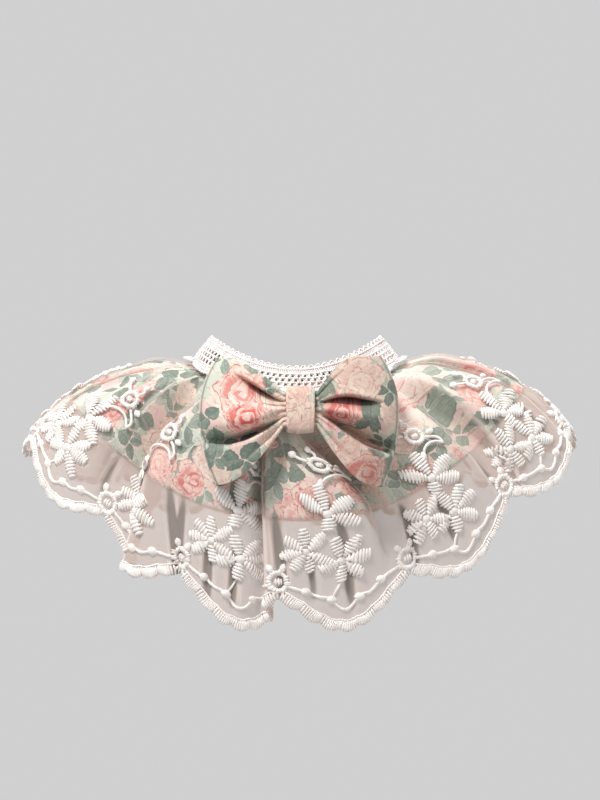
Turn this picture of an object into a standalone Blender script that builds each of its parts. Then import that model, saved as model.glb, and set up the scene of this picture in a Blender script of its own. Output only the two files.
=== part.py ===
"""A pet's lace collar in the shape it has when it is worn, with the neck inside it left empty.

Two gathered ruffles hang from a neckband: a printed cotton one, and over it a longer one of embroidered
net with a scalloped hem. A crochet edging covers the band, a bow is sewn on at the front, and the band
closes at the nape with a snap. Metres, +Z up, the front faces -Y. The origin is on the neck's axis, level
with the band's top edge at the front.
"""

import math

import bmesh
import bpy
import numpy as np
from mathutils import Matrix, Vector

MM = 0.001

# The neckband, a strip that stands round the neck and leans outwards.
NECK_RADIUS = 44.5 * MM  # of the band's top edge
SHOULDER_RISE = 16.0 * MM  # how much higher the top edge is at the sides than at the front and nape
BAND_WALL = 1.4 * MM
BAND_COLUMNS = 66
NAPE = 178.0  # degrees from the front to where the cloth ends at the nape
BAND_REACH = 0.93  # how far down to the seam the band's lower edge comes
TAB = 18.0  # degrees that the band's left end runs on under its right end
TAB_BEND = 8.0  # degrees in which it steps in under it
TAB_STEP = 2.6 * MM  # how far inside the band the tab lies

# The ruffles, cut as straight strips that are gathered onto the band.
SCALLOPS = 13
SCALLOP_PITCH = 68.0 * MM
SCALLOP_SHIFT = 3.0 * MM  # where the notch nearest to the strip's middle is
CUT_WIDTH = SCALLOPS * SCALLOP_PITCH
NET_LENGTH = 108.0 * MM  # from the seam to the notch between two scallops
SCALLOP_DEPTH = 16.5 * MM
SCALLOP_SHARPNESS = 1.3  # 1 makes each scallop half a sine wave, more makes it narrower
NET_WALL = 1.0 * MM
COTTON_WALL = 1.2 * MM
SEAM_GAP = 0.4 * MM
LAYER_GAP = 0.5 * MM  # how much further apart the two ruffles hang below the seam
STEPS = (4, 4, 3, 1, 3)  # columns across half a crown, the other half, a valley's side, floor and side
COTTON_ROWS = (0.0, 10.0, 24.0, 44.0, 69.0)  # mm below the seam
NET_ROWS = COTTON_ROWS + (90.0,)  # the hem comes after them

# How the cloth falls: one row for each distance down it from the seam, in mm. Out is the distance from
# the neck's axis, wide is the half width that the front panels take up, and up is the height.
FALL_COLUMNS = (
    "down", "front_out", "front_wide", "front_up",
    "left_out", "left_up", "right_out", "right_up", "back_out", "back_up",
)
FALL = (
    (0, 52.0, 54, -11.5, 54.0, 4.5, 54.0, 4.5, 52.0, -11.5),
    (12, 60.0, 69, -20.5, 65.0, 4.0, 65.0, 5.5, 63.5, -15.0),
    (30, 67.5, 85, -36.5, 82.0, -1.0, 82.5, 2.0, 80.0, -22.5),
    (52, 72.5, 101, -57.8, 102.0, -9.5, 103.0, -6.5, 98.5, -34.5),
    (80, 75.5, 116, -85.5, 123.0, -21.0, 124.5, -17.0, 120.0, -52.5),
    (93, 76.5, 121, -98.5, 130.5, -26.0, 133.0, -22.5, 129.0, -62.0),
    (108, 77.0, 126, -113.5, 136.5, -33.5, 141.0, -30.5, 138.0, -74.0),
    (130, 77.5, 130, -135.5, 142.5, -48.0, 148.5, -44.5, 150.0, -92.0),
)
SIDE_FROM = 88.0  # degrees from the front at which the cloth lies as it does at the side
SIDE_POWER = 1.25  # more keeps the front as it is for more of the way round
FRONT_FROM, FRONT_TO = 60.0, 120.0  # degrees between which the front panels' half width gives way
MIDDLE_DOWN = 80.0 * MM  # the level at which the folds' widths are compared

# The large folds, left to right round the collar: the angles in degrees from the front of a fold's two
# edges near the seam (top) and lower down, the angle at the middle of the valley after it, how far in mm
# the crown stands out and the valley falls back, and the share of that which is kept at the hem. An edge
# that lies past the valley beside it overhangs it.
FOLD_COLUMNS = ("top_left", "top_right", "left", "right", "valley", "out", "back", "kept")
FOLDS = (
    (-177, -158, -177, -159, -156, 5, 5, 0.4),
    (-150, -130, -153, -135, -132, 6, 6, 0.5),
    (-122, -106, -129, -114, -111, 6, 6, 0.4),
    (-99, -84, -107, -88, -82, 7, 7, 0.3),
    (-76, -60, -83, -57, -39.5, 6, 17, 0.5),
    (-43, -18, -43.5, -11, -6, 5, 6, 0.7),
    (-12.5, -7, -8.5, 23, 21.5, 7, 6, 0.1),
    (2, 44, 29, 50, 55, 5, 6, 0.2),
    (53, 71, 57, 81, 79, 7, 7, 0.2),
    (78, 97, 86, 108, 111.5, 8, 6, 0.4),
    (104, 124, 115, 131, 134, 6, 6, 0.5),
    (131, 150, 137, 155, 158, 6, 5, 0.4),
    (157, 177, 161, 177, 178, 5, 0, 0.4),
)
FLOOR = 4.0  # degrees across a valley's floor
EDGE_SHARE = 0.55  # a fold's edge stands out this share of its crown
FLARE = 45 * MM  # how far down the folds open from their angles at the seam
FOLD_START = 24 * MM  # how far down the folds reach most of their depth
FOLD_POWER = 1.5
HEM_FROM, HEM_TO = 50 * MM, 108 * MM  # between these the stitched hem flattens them
GATHERS = 28
GATHER_HEIGHT = 1.3 * MM
GATHER_DOWN, GATHER_LENGTH = 20 * MM, 9 * MM  # how far down the gathers are highest, and how far they run
FINE = 1500  # points used to measure along the cloth

# The crochet edging that lies on the band.
EDGING_WALL = 1.0 * MM
EDGING_PICOTS = 72
PICOT_HEIGHT = 1.2 * MM
EDGING_ABOVE = 1.4 * MM  # it stands above the band's top edge
EDGING_BELOW = 4.0 * MM  # and laps over the seam
EDGING_LIFT = 2.8 * MM  # clear of the gathers there
EDGING_BEND = 0.9  # how far down the band it bends outwards
BAND_HEIGHT = 14.0 * MM

# The bow. Sizes across it are from its knot's middle.
BOW_X = 2.2 * MM
BOW_UP = -19.7 * MM
BOW_WALL = 1.4 * MM
BOW_DEPTH = 14.0 * MM  # sets how full it is: its front stands about this far out
BOW_BACK = 0.45  # how full the back layer is, as a share of the front
BOW_CLEAR = 1.2 * MM  # from the net to the middle of the back layer
BOW_WRAP = 7.0 * MM  # how far it bends back towards the neck at BOW_WRAP_AT from the knot
BOW_WRAP_AT = 45.0 * MM
BOW_INNER = 0.4 * MM  # where the loops begin, inside the knot
BOW_FOLD = 1.7 * MM  # half the space between the layers at their folds
BOW_SHORTER = 8.5 * MM  # how much less a half reaches at its corners
BOW_OPEN = 12.0 * MM  # how far outside the knot it takes to open out
BOW_COLUMNS, BOW_ROWS = 22, 16
NET_WINDOW = 4.0 * MM  # how far round each point of the bow the net's points count
# The height that the bow's middle passes through, above the knot's middle, and how far forward it is.
BOW_LEAN_COLUMNS = ("up", "forward")
BOW_LEAN = ((-42, 86.6), (-25, 84.6), (-12, 79.6), (0, 73.6), (26, 67.0))
KNOT_WIDTH = 13.6 * MM
KNOT_HEIGHT = 23.2 * MM
KNOT_DEPTH = 13.6 * MM
KNOT_WALL = 1.5 * MM
KNOT_SIDES = 28
KNOT_RINGS = 3
KNOT_PUFF = 0.06  # how much fuller its middle is
KNOT_CORNERS = 0.75  # less makes the knot squarer when it is seen from above
WAIST_LESS = 1.0 * MM  # clear space round the gathered cloth inside the knot
WAIST_ENDS = 1.6 * MM  # how far outside the knot the cloth starts to spread
# Each half: its side, how far it reaches, the heights of its outer corners and how far out they are.
HALF_COLUMNS = ("side", "reach", "top", "top_from", "bottom", "bottom_from")
HALVES = {"bow_left": (-1, 50.0, 25.8, 40, 37, 41), "bow_right": (1, 48.7, 26.5, 28, 38, 38)}
# The creases that run out from the knot: where they lie from the bottom edge, -1, to the top edge, 1, at
# the knot and at the end, the share of the fullness they take, their width, and how far out they run.
CREASE_COLUMNS = ("at_knot", "at_end", "pinch", "width", "length")
CREASES = {
    "bow_left": ((0.66, 0.66, 0.95, 0.15, 0.70), (-0.42, -0.47, 0.75, 0.17, 1.0)),
    "bow_right": ((0.50, 0.12, 0.95, 0.17, 0.82), (-0.30, -0.5, 0.9, 0.16, 0.95)),
}

SNAP_AT = 170.0  # degrees from the front
SNAP_RADIUS = 4.5 * MM
SNAP_HEIGHT = 1.6 * MM
SNAP_TOP = 0.8  # its top's radius as a share of its foot's
SNAP_SIDES = 20
SNAP_GAP = 0.3 * MM

# Each sub-part's colour, roughness and metallic value.
FINISHES = {
    "net_ruffle": ((0.74, 0.62, 0.57), 0.95, 0),
    "cotton_ruffle": ((0.84, 0.70, 0.62), 0.9, 0),
    "neckband": ((0.86, 0.74, 0.68), 0.9, 0),
    "crochet_edging": ((0.92, 0.90, 0.86), 0.85, 0),
    "bow_left": ((0.86, 0.68, 0.62), 0.8, 0),
    "bow_right": ((0.86, 0.70, 0.60), 0.8, 0),
    "bow_knot": ((0.86, 0.62, 0.56), 0.8, 0),
    "snap_cap": ((0.88, 0.86, 0.82), 0.35, 0),
}


def smooth_through(x, xs, ys):
    """A smooth curve through the points xs, ys, read at x."""
    xs = np.asarray(xs, float)
    ys = np.asarray(ys, float)
    slope = np.gradient(ys, xs)
    i = np.clip(np.searchsorted(xs, x, side="right") - 1, 0, len(xs) - 2)
    width = xs[i + 1] - xs[i]
    u = (x - xs[i]) / width
    return (
        (2 * u**3 - 3 * u**2 + 1) * ys[i]
        + (u**3 - 2 * u**2 + u) * width * slope[i]
        + (3 * u**2 - 2 * u**3) * ys[i + 1]
        + (u**3 - u**2) * width * slope[i + 1]
    )


def ease(x):
    """0 below 0, 1 above 1, and a smooth rise between."""
    x = np.clip(x, 0, 1)
    return x * x * (3 - 2 * x)


fall = dict(zip(FALL_COLUMNS, np.array(FALL, float).T * MM))


def side_share(angle):
    """How much the cloth at this angle, in degrees, lies as it does at the side: 0 at the front and nape."""
    from_middle = np.minimum(np.abs(angle), 180 - np.abs(angle))
    return ease(from_middle / SIDE_FROM) ** SIDE_POWER


def guide(angle, down):
    """The cloth without its folds: the point at this angle, in degrees, and this far down from the seam."""
    value = {name: smooth_through(down, fall["down"], fall[name]) for name in FALL_COLUMNS[1:]}
    share = side_share(angle)
    turn = np.radians(angle)
    is_right = ease(0.5 + angle / FRONT_TO)
    side_out = value["left_out"] + (value["right_out"] - value["left_out"]) * is_right
    side_up = value["left_up"] + (value["right_up"] - value["left_up"]) * is_right
    is_front = ease((FRONT_TO - np.abs(angle)) / (FRONT_TO - FRONT_FROM))
    wide = side_out + (value["front_wide"] - side_out) * is_front * (1 - share)
    out = np.where(np.abs(angle) < 90, value["front_out"], value["back_out"])
    up = np.where(np.abs(angle) < 90, value["front_up"], value["back_up"])
    return np.stack((wide * np.sin(turn), -out * np.cos(turn), up + (side_up - up) * share), axis=-1)


def outward(surface, a, b, step_a, step_b):
    """The unit normal of surface(a, b) that points away from the neck."""
    along = surface(a + step_a, b) - surface(a - step_a, b)
    down = surface(a, b + step_b) - surface(a, b - step_b)
    normal = np.cross(along, down)
    length = np.linalg.norm(normal, axis=-1, keepdims=True)
    return -normal / np.maximum(length, 1e-12)


def fold_lines():
    """The lines that the folds run along: their angles at the seam and lower down, rises, and hem shares."""
    fold = dict(zip(FOLD_COLUMNS, np.array(FOLDS, float).T))
    next_top = np.append(fold["top_left"][1:], NAPE)
    top_valley = (fold["top_right"] + next_top) / 2
    edge_out = fold["out"] * EDGE_SHARE
    kept_before = np.append(fold["kept"][0], fold["kept"][:-1])
    tops = (
        fold["top_left"],
        (fold["top_left"] + fold["top_right"]) / 2,
        fold["top_right"],
        top_valley - FLOOR / 4,
        top_valley + FLOOR / 4,
    )
    lows = (
        fold["left"],
        (fold["left"] + fold["right"]) / 2,
        fold["right"],
        fold["valley"] - FLOOR / 2,
        fold["valley"] + FLOOR / 2,
    )
    rises = (edge_out * MM, fold["out"] * MM, edge_out * MM, -fold["back"] * MM, -fold["back"] * MM)
    kept = (kept_before, (kept_before + fold["kept"]) / 2, fold["kept"], fold["kept"], fold["kept"])
    return [np.stack(columns, axis=1).ravel()[:-2] for columns in (tops, lows, rises, kept)]


line_top, line_low, line_rise, line_kept = fold_lines()
line_flat = np.sort(line_low)


def along_fold_lines():
    """The place from 0 to 1 of each fold line across the cloth."""
    middle = np.full_like(line_low, MIDDLE_DOWN)
    points = guide(line_low, middle) + line_rise[:, None] * outward(guide, line_low, middle, 0.5, 0.5 * MM)
    run = np.append(0, np.cumsum(np.linalg.norm(np.diff(points, axis=0), axis=1)))
    return run / run[-1]


line_place = along_fold_lines()


def folded(place, down):
    """A point of the folded cloth, by its place across the fold lines and how far down it is."""

    def across(values):
        return smooth_through(place, line_place, values)

    flattened = ease((down - HEM_FROM) / (HEM_TO - HEM_FROM)) * (1 - across(line_kept))
    low = across(line_low) + (across(line_flat) - across(line_low)) * flattened
    flare = 1 - np.exp(-((np.maximum(down, 0) / FLARE) ** 2))
    angle = np.clip(across(line_top) + (low - across(line_top)) * flare, -NAPE, NAPE)
    deep = 1 - np.exp(-((np.maximum(down, 0) / FOLD_START) ** FOLD_POWER))
    rise = across(line_rise) * deep * (1 - flattened)
    gathered = np.exp(-(((down - GATHER_DOWN) / GATHER_LENGTH) ** 2))
    rise = rise + GATHER_HEIGHT * gathered * np.sin(2 * math.pi * GATHERS * place)
    return guide(angle, down) + rise[..., None] * outward(guide, angle, down, 0.5, 0.5 * MM)


def columns_across():
    """The places of the mesh's columns, closer together at the folds' sides."""
    places = [0.0]
    for i in range(len(line_place) - 1):
        steps = STEPS[i % len(STEPS)]
        places += list(line_place[i] + (line_place[i + 1] - line_place[i]) * np.arange(1, steps + 1) / steps)
    return np.array(places)


def strip_at(level):
    """For this level: places across the folds, and where each lies on the strip, 0 at its middle."""
    fine = np.linspace(0, 1, FINE)
    points = folded(fine, np.full_like(fine, level))
    run = np.append(0, np.cumsum(np.linalg.norm(np.diff(points, axis=0), axis=1)))
    return fine, (run / run[-1] - 0.5) * CUT_WIDTH


hem_place, hem_cut = strip_at(NET_LENGTH)


def hem(place):
    """How far below the seam the scalloped hem is."""
    cut = np.interp(place, hem_place, hem_cut)
    along = (cut - SCALLOP_SHIFT) / SCALLOP_PITCH
    return NET_LENGTH + SCALLOP_DEPTH * np.abs(np.sin(math.pi * along)) ** SCALLOP_SHARPNESS


def lifted(place, down, height):
    """A point of the folded cloth, moved out of it by height."""
    normal = outward(folded, place, down, 0.002, 0.5 * MM)
    return folded(place, down) + np.reshape(height, (-1, 1)) * normal


def band(angle, down):
    """The band's cone: down is 0 at its top edge and 1 at the seam."""
    turn = np.radians(angle)
    top = np.stack(
        (
            NECK_RADIUS * np.sin(turn),
            -NECK_RADIUS * np.cos(turn),
            SHOULDER_RISE * np.sin(turn) ** 2,
        ),
        axis=-1,
    )
    seam = guide(angle, np.zeros_like(angle))
    return top + (seam - top) * down[..., None]


def band_at(angle, down, height):
    """A point of the band's cone, moved out by height."""
    normal = outward(band, angle, down, 0.5, 0.02)
    return band(angle, down) + height[..., None] * normal


def material(name):
    """The material of the sub-part with this name."""
    colour, roughness, metallic = FINISHES[name]
    made = bpy.data.materials.get(name) or bpy.data.materials.new(name)
    made.use_nodes = True
    shader = made.node_tree.nodes["Principled BSDF"]
    shader.inputs["Base Color"].default_value = (*colour, 1)
    shader.inputs["Roughness"].default_value = roughness
    shader.inputs["Metallic"].default_value = metallic
    return made


def add(name, bm, collection):
    """An object with this name, its material and the shape in bm."""
    mesh = bpy.data.meshes.new(name)
    bm.to_mesh(mesh)
    bm.free()
    mesh.materials.append(material(name))
    mesh.shade_smooth()
    obj = bpy.data.objects.new(name, mesh)
    collection.objects.link(obj)
    return obj


def thicken(obj, wall):
    """Gives a sheet its thickness, half on each side."""
    thick = obj.modifiers.new("Thickness", "SOLIDIFY")
    thick.thickness = wall
    thick.offset = 0


def cloth(name, columns, rows, place, wall, collection):
    """A sheet of cloth: a flat grid, moved to place(u, row) and given its thickness. u runs from 0 to 1."""
    bm = bmesh.new()
    bmesh.ops.create_grid(bm, x_segments=columns, y_segments=rows, size=0.5)
    flat = np.array([v.co for v in bm.verts])
    u = flat[:, 0] + 0.5
    row = np.rint((0.5 - flat[:, 1]) * rows).astype(int)
    for vertex, point in zip(bm.verts, place(u, row)):
        vertex.co = point
    thicken(add(name, bm, collection), wall)


def make_net_ruffle(collection):
    """The long ruffle of embroidered net, which lies outermost."""
    places = columns_across()
    rows = np.array(NET_ROWS) * MM

    def place(u, row):
        across = places[np.rint(u * (len(places) - 1)).astype(int)]
        down = np.where(row == len(rows), hem(across), rows[np.minimum(row, len(rows) - 1)])
        return lifted(across, down, 0)

    cloth("net_ruffle", len(places) - 1, len(rows), place, NET_WALL, collection)


def make_cotton_ruffle(collection):
    """The short ruffle of printed cotton, which lies under the net and has its folds."""
    places = columns_across()
    rows = np.array(COTTON_ROWS) * MM
    seam = NET_WALL / 2 + SEAM_GAP + COTTON_WALL / 2

    def place(u, row):
        across = places[np.rint(u * (len(places) - 1)).astype(int)]
        return lifted(across, rows[row], -(seam + LAYER_GAP * (row > 0)))

    cloth("cotton_ruffle", len(places) - 1, len(rows) - 1, place, COTTON_WALL, collection)


def make_neckband(collection):
    """The band, with a tab at its left end that runs on under its right end."""

    def place(u, row):
        angle = -NAPE - TAB + u * (2 * NAPE + TAB)
        under = ease((-NAPE - angle) / TAB_BEND + 1)
        height = -BAND_WALL / 2 - TAB_STEP * under
        around = np.where(angle < -180, angle + 360, angle)
        return band_at(around, BAND_REACH * row, height)

    cloth("neckband", BAND_COLUMNS, 1, place, BAND_WALL, collection)


def make_edging(collection):
    """The crochet edging, which covers the band and laps over the ruffles' seam."""
    columns = EDGING_PICOTS * 2

    def place(u, row):
        angle = (2 * u - 1) * NAPE
        on_band = SEAM_GAP + EDGING_WALL / 2
        picot = np.where(np.rint(u * columns) % 2 == 1, PICOT_HEIGHT, 0)
        top = -(EDGING_ABOVE + picot) / BAND_HEIGHT
        down = np.where(row == 0, top, EDGING_BEND)
        upper = band_at(angle, down, np.full_like(u, on_band))
        below = np.full_like(u, EDGING_BELOW)
        lap = guide(angle, below) + EDGING_LIFT * outward(guide, angle, below, 0.5, 0.5 * MM)
        return np.where((row == 2)[:, None], lap, upper)

    cloth("crochet_edging", columns, 2, place, EDGING_WALL, collection)


def net_under_bow():
    """The net's points in front, where the bow lies on it."""
    places, downs = np.meshgrid(np.linspace(0.3, 0.7, 160), np.arange(0, 100, 3) * MM)
    return lifted(places.ravel(), downs.ravel(), NET_WALL / 2)


net_front = net_under_bow()


def forward_of_net(x, z):
    """How far forward the net reaches behind each point of the bow."""
    beside = np.abs(x[:, None] - net_front[:, 0]) < NET_WINDOW
    level = np.abs(z[:, None] - net_front[:, 2]) < NET_WINDOW
    return np.where(beside & level, -net_front[:, 1], 0).max(axis=1)


def bow_middle(up):
    """How far forward the bow's middle layer is, at this height above the knot's middle."""
    heights, forward = np.array(BOW_LEAN, float).T * MM
    return smooth_through(up, heights, forward)


def bow_half(name, loop, across):
    """A point of one half: loop runs out along the front, 0 to 0.5, and home along the back, to 1."""
    half = dict(zip(HALF_COLUMNS, HALVES[name]))
    gathered = KNOT_WIDTH / 2 + WAIST_ENDS
    waist = (KNOT_HEIGHT - BOW_WALL) / 2 - KNOT_WALL - WAIST_LESS
    reach = half["reach"] * MM - BOW_SHORTER * across**2
    out = BOW_INNER + (reach - BOW_INNER) * (1 - np.cos(2 * math.pi * loop)) / 2

    def height(corner, corner_from):
        spread = np.clip((out - gathered) / (corner_from * MM - gathered), 0, 1)
        return waist + (corner * MM - waist) * np.sin(math.pi / 2 * spread)

    top, bottom = height(half["top"], half["top_from"]), height(half["bottom"], half["bottom_from"])
    up = across * np.where(across > 0, top, bottom)
    full = np.sin(2 * math.pi * loop) * np.abs(np.sin(math.pi * loop)) ** 0.6 * (1 - 0.45 * across**2)
    full = BOW_DEPTH * full * ease((out - KNOT_WIDTH / 2) / BOW_OPEN)
    share = out / (half["reach"] * MM)
    pinched = np.zeros_like(loop)
    for crease in CREASES[name]:
        row = dict(zip(CREASE_COLUMNS, crease))
        line = row["at_knot"] + (row["at_end"] - row["at_knot"]) * share
        trough = np.exp(-(((across - line) / row["width"]) ** 2))
        fade = 1 - ease(2 * share / row["length"] - 1)
        pinched = np.maximum(pinched, row["pinch"] * trough * fade)
    is_back = loop > 0.5
    full = full * np.where(is_back, BOW_BACK, 1 - pinched * ease(5 - 10 * loop))
    x, z = BOW_X + half["side"] * out, BOW_UP + up
    forward = bow_middle(up) - BOW_WRAP * (out / BOW_WRAP_AT) ** 2 + BOW_FOLD * np.cos(math.pi * loop) + full
    clear = BOW_CLEAR + np.where(is_back, 0, BOW_WALL + BOW_FOLD / 2)
    clear = clear * ease((out - gathered) / BOW_OPEN)
    return np.stack((x, -np.maximum(forward, forward_of_net(x, z) + clear), z), axis=-1)


def make_bow_half(name, collection):
    """One half of the bow: a doubled loop of cloth, pinched at the knot."""
    side = HALVES[name][0]

    def place(u, row):
        across = 1 - 2 * row / BOW_ROWS
        return bow_half(name, u if side > 0 else 1 - u, across)

    cloth(name, BOW_COLUMNS, BOW_ROWS, place, BOW_WALL, collection)


def make_bow_knot(collection):
    """The strip that is wrapped round the bow's middle."""
    bm = bmesh.new()
    bmesh.ops.create_cone(
        bm, cap_ends=False, segments=KNOT_SIDES, radius1=1, radius2=1, depth=KNOT_WIDTH
    )
    lengthwise = [edge for edge in bm.edges if edge.verts[0].co.z != edge.verts[1].co.z]
    bmesh.ops.subdivide_edges(bm, edges=lengthwise, cuts=KNOT_RINGS)
    for vertex in bm.verts:
        x, y, z = vertex.co
        turn = math.atan2(y, x)
        puff = 1 + KNOT_PUFF * math.cos(math.pi * z / KNOT_WIDTH)
        square = math.copysign(abs(math.cos(turn)) ** KNOT_CORNERS, math.cos(turn))
        up = (KNOT_HEIGHT - KNOT_WALL) / 2 * math.sin(turn) * puff
        front = (KNOT_DEPTH - KNOT_WALL) / 2 * square * puff
        vertex.co = (BOW_X + z, -float(bow_middle(np.array(up))) - front, BOW_UP + up)
    bmesh.ops.recalc_face_normals(bm, faces=bm.faces)
    thicken(add("bow_knot", bm, collection), KNOT_WALL)


def make_snap(collection):
    """The press stud's cap, on the band's outer end at the nape."""
    angle, down = np.array([SNAP_AT]), np.array([0.5])
    lift = SEAM_GAP + EDGING_WALL + SNAP_GAP + SNAP_HEIGHT / 2
    centre = band_at(angle, down, np.array([lift]))[0]
    normal = outward(band, angle, down, 0.5, 0.02)[0]
    bm = bmesh.new()
    bmesh.ops.create_cone(
        bm, cap_ends=True, segments=SNAP_SIDES,
        radius1=SNAP_RADIUS, radius2=SNAP_TOP * SNAP_RADIUS, depth=SNAP_HEIGHT,
    )
    bm.transform(Matrix.Translation(centre) @ Vector(normal).to_track_quat("Z", "Y").to_matrix().to_4x4())
    add("snap_cap", bm, collection)


def main():
    for old in list(bpy.data.objects):
        bpy.data.objects.remove(old)
    collection = bpy.data.collections.new("pet_lace_collar")
    bpy.context.scene.collection.children.link(collection)
    make_net_ruffle(collection)
    make_cotton_ruffle(collection)
    make_neckband(collection)
    make_edging(collection)
    for name in HALVES:
        make_bow_half(name, collection)
    make_bow_knot(collection)
    make_snap(collection)


main()
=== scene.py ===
import math

import bmesh
import bpy
import numpy as np
from mathutils import Matrix, Vector


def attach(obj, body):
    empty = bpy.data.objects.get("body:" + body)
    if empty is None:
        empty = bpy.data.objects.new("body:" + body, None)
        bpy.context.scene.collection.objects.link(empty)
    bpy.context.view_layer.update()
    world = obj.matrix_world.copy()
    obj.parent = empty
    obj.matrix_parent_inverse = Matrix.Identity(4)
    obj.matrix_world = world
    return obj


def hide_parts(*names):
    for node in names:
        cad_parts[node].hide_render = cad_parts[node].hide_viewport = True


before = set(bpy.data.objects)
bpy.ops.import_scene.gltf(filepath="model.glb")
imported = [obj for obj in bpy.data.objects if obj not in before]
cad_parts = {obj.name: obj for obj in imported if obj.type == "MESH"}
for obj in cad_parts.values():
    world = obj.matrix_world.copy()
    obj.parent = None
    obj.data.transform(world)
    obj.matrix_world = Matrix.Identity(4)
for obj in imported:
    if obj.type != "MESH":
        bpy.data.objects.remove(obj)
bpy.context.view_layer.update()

mm = 0.001  # shapes are worked out in mm, and addPiece brings them to metres
chance = np.random.default_rng(7)  # small unevenness of stitches, the same on every run


def addObject(name, data):
    made = bpy.data.objects.new(name, data)
    bpy.context.scene.collection.objects.link(made)
    return made


# the camera stands where the photo was taken from, level with the band
camera = {"target": (0.002, 0, -0.015), "distance": 1.6, "fieldHeight": 0.4, "fieldAt": 0.06, "sensor": 24}


def makeCamera():
    made = addObject("camera", bpy.data.cameras.new("camera"))
    made.data.sensor_fit = "VERTICAL"
    made.data.sensor_height = camera["sensor"]
    made.data.lens = camera["sensor"] * (camera["distance"] - camera["fieldAt"]) / camera["fieldHeight"]
    made.location = Vector(camera["target"]) + Vector((0, -camera["distance"], 0))
    made.rotation_euler = (math.pi / 2, 0, 0)
    bpy.context.scene.camera = made


makeCamera()
print("camera set")


def smoothThrough(x, xs, ys):
    # a smooth curve through the points xs, ys, read at x
    xs, ys = np.asarray(xs, float), np.asarray(ys, float)
    slope = np.gradient(ys, xs)
    i = np.clip(np.searchsorted(xs, x, side="right") - 1, 0, len(xs) - 2)
    width = xs[i + 1] - xs[i]
    u = (x - xs[i]) / width
    return (
        (2 * u**3 - 3 * u**2 + 1) * ys[i]
        + (u**3 - 2 * u**2 + u) * width * slope[i]
        + (3 * u**2 - 2 * u**3) * ys[i + 1]
        + (u**3 - u**2) * width * slope[i + 1]
    )


def ease(x):
    x = np.clip(x, 0, 1)
    return x * x * (3 - 2 * x)


def bell(x, width):
    return np.exp(-((x / width) ** 2))


# how both ruffles fall: distance down the cloth, then how far out, how wide and how high it is there (mm)
fallNames = (
    "down", "frontOut", "frontWide", "frontUp", "leftOut", "leftUp", "rightOut", "rightUp", "backOut",
    "backUp",
)
fallRows = (
    (0, 52.0, 54, -11.5, 54.0, 4.5, 54.0, 4.5, 52.0, -11.5),
    (12, 60.0, 69, -20.5, 65.0, 4.0, 65.0, 5.5, 63.5, -15.0),
    (30, 67.5, 85, -36.5, 82.0, -1.0, 82.5, 2.0, 80.0, -22.5),
    (52, 72.5, 101, -57.8, 102.0, -9.5, 103.0, -6.5, 98.5, -34.5),
    (80, 75.5, 116, -85.5, 123.0, -21.0, 124.5, -17.0, 120.0, -52.5),
    (93, 76.5, 121, -98.5, 130.5, -26.0, 133.0, -22.5, 129.0, -62.0),
    (108, 77.0, 126, -113.5, 136.5, -33.5, 141.0, -30.5, 138.0, -74.0),
    (130, 77.5, 130, -135.5, 142.5, -48.0, 148.5, -44.5, 150.0, -92.0),
)
fall = dict(zip(fallNames, np.array(fallRows, float).T))

# the large folds round the collar: edges near the seam and lower down and the valley after it (degrees),
# how far the crown stands out and the valley falls back (mm), and the share that the hem keeps
foldNames = ("topLeft", "topRight", "left", "right", "valley", "out", "back", "kept")
foldRows = (
    (-177, -158, -177, -159, -156, 5, 5, 0.4),
    (-150, -130, -153, -135, -132, 6, 6, 0.5),
    (-122, -106, -129, -114, -111, 6, 6, 0.4),
    (-99, -84, -107, -88, -82, 7, 7, 0.3),
    (-76, -60, -83, -57, -39.5, 6, 17, 0.5),
    (-43, -18, -43.5, -11, -6, 5, 6, 0.7),
    (-12.5, -7, -8.5, 23, 21.5, 7, 6, 0.1),
    (2, 44, 29, 50, 55, 5, 6, 0.2),
    (53, 71, 57, 81, 79, 7, 7, 0.2),
    (78, 97, 86, 108, 111.5, 8, 6, 0.4),
    (104, 124, 115, 131, 134, 6, 6, 0.5),
    (131, 150, 137, 155, 158, 6, 5, 0.4),
    (157, 177, 161, 177, 178, 5, 0, 0.4),
)
ruffle = {
    "nape": 178, "floor": 4, "edgeShare": 0.55, "flare": 45, "foldStart": 24, "foldPower": 1.5,
    "hemFrom": 50, "hemTo": 108, "gathers": 28, "gatherHeight": 1.3, "gatherDown": 20, "gatherLength": 9,
    "sideFrom": 88, "sidePower": 1.25, "frontFrom": 60, "frontTo": 120, "middleDown": 80, "scallops": 13,
    "pitch": 68, "shift": 3, "length": 108, "scallopDepth": 16.5, "sharpness": 1.3, "lumps": 7,
    "lumpHeight": 2.3, "lumpSharpness": 0.7, "lumpShare": 0.3, "cottonLength": 70,
}
cutWidth = ruffle["scallops"] * ruffle["pitch"]


def guide(angle, down):
    # the cloth without its folds
    value = {name: smoothThrough(down, fall["down"], fall[name]) for name in fallNames[1:]}
    fromMiddle = np.minimum(np.abs(angle), 180 - np.abs(angle))
    share = ease(fromMiddle / ruffle["sideFrom"]) ** ruffle["sidePower"]
    turn = np.radians(angle)
    isRight = ease(0.5 + angle / ruffle["frontTo"])
    sideOut = value["leftOut"] + (value["rightOut"] - value["leftOut"]) * isRight
    sideUp = value["leftUp"] + (value["rightUp"] - value["leftUp"]) * isRight
    isFront = ease((ruffle["frontTo"] - np.abs(angle)) / (ruffle["frontTo"] - ruffle["frontFrom"]))
    wide = sideOut + (value["frontWide"] - sideOut) * isFront * (1 - share)
    out = np.where(np.abs(angle) < 90, value["frontOut"], value["backOut"])
    up = np.where(np.abs(angle) < 90, value["frontUp"], value["backUp"])
    return np.stack((wide * np.sin(turn), -out * np.cos(turn), up + (sideUp - up) * share), axis=-1)


def unit(value):
    return value / np.maximum(np.linalg.norm(value, axis=-1, keepdims=True), 1e-12)


def outward(surface, a, b, step=0.5):
    along = surface(a + 0.5, b) - surface(a - 0.5, b)
    return unit(np.cross(surface(a, b + step) - surface(a, b - step), along))


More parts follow.
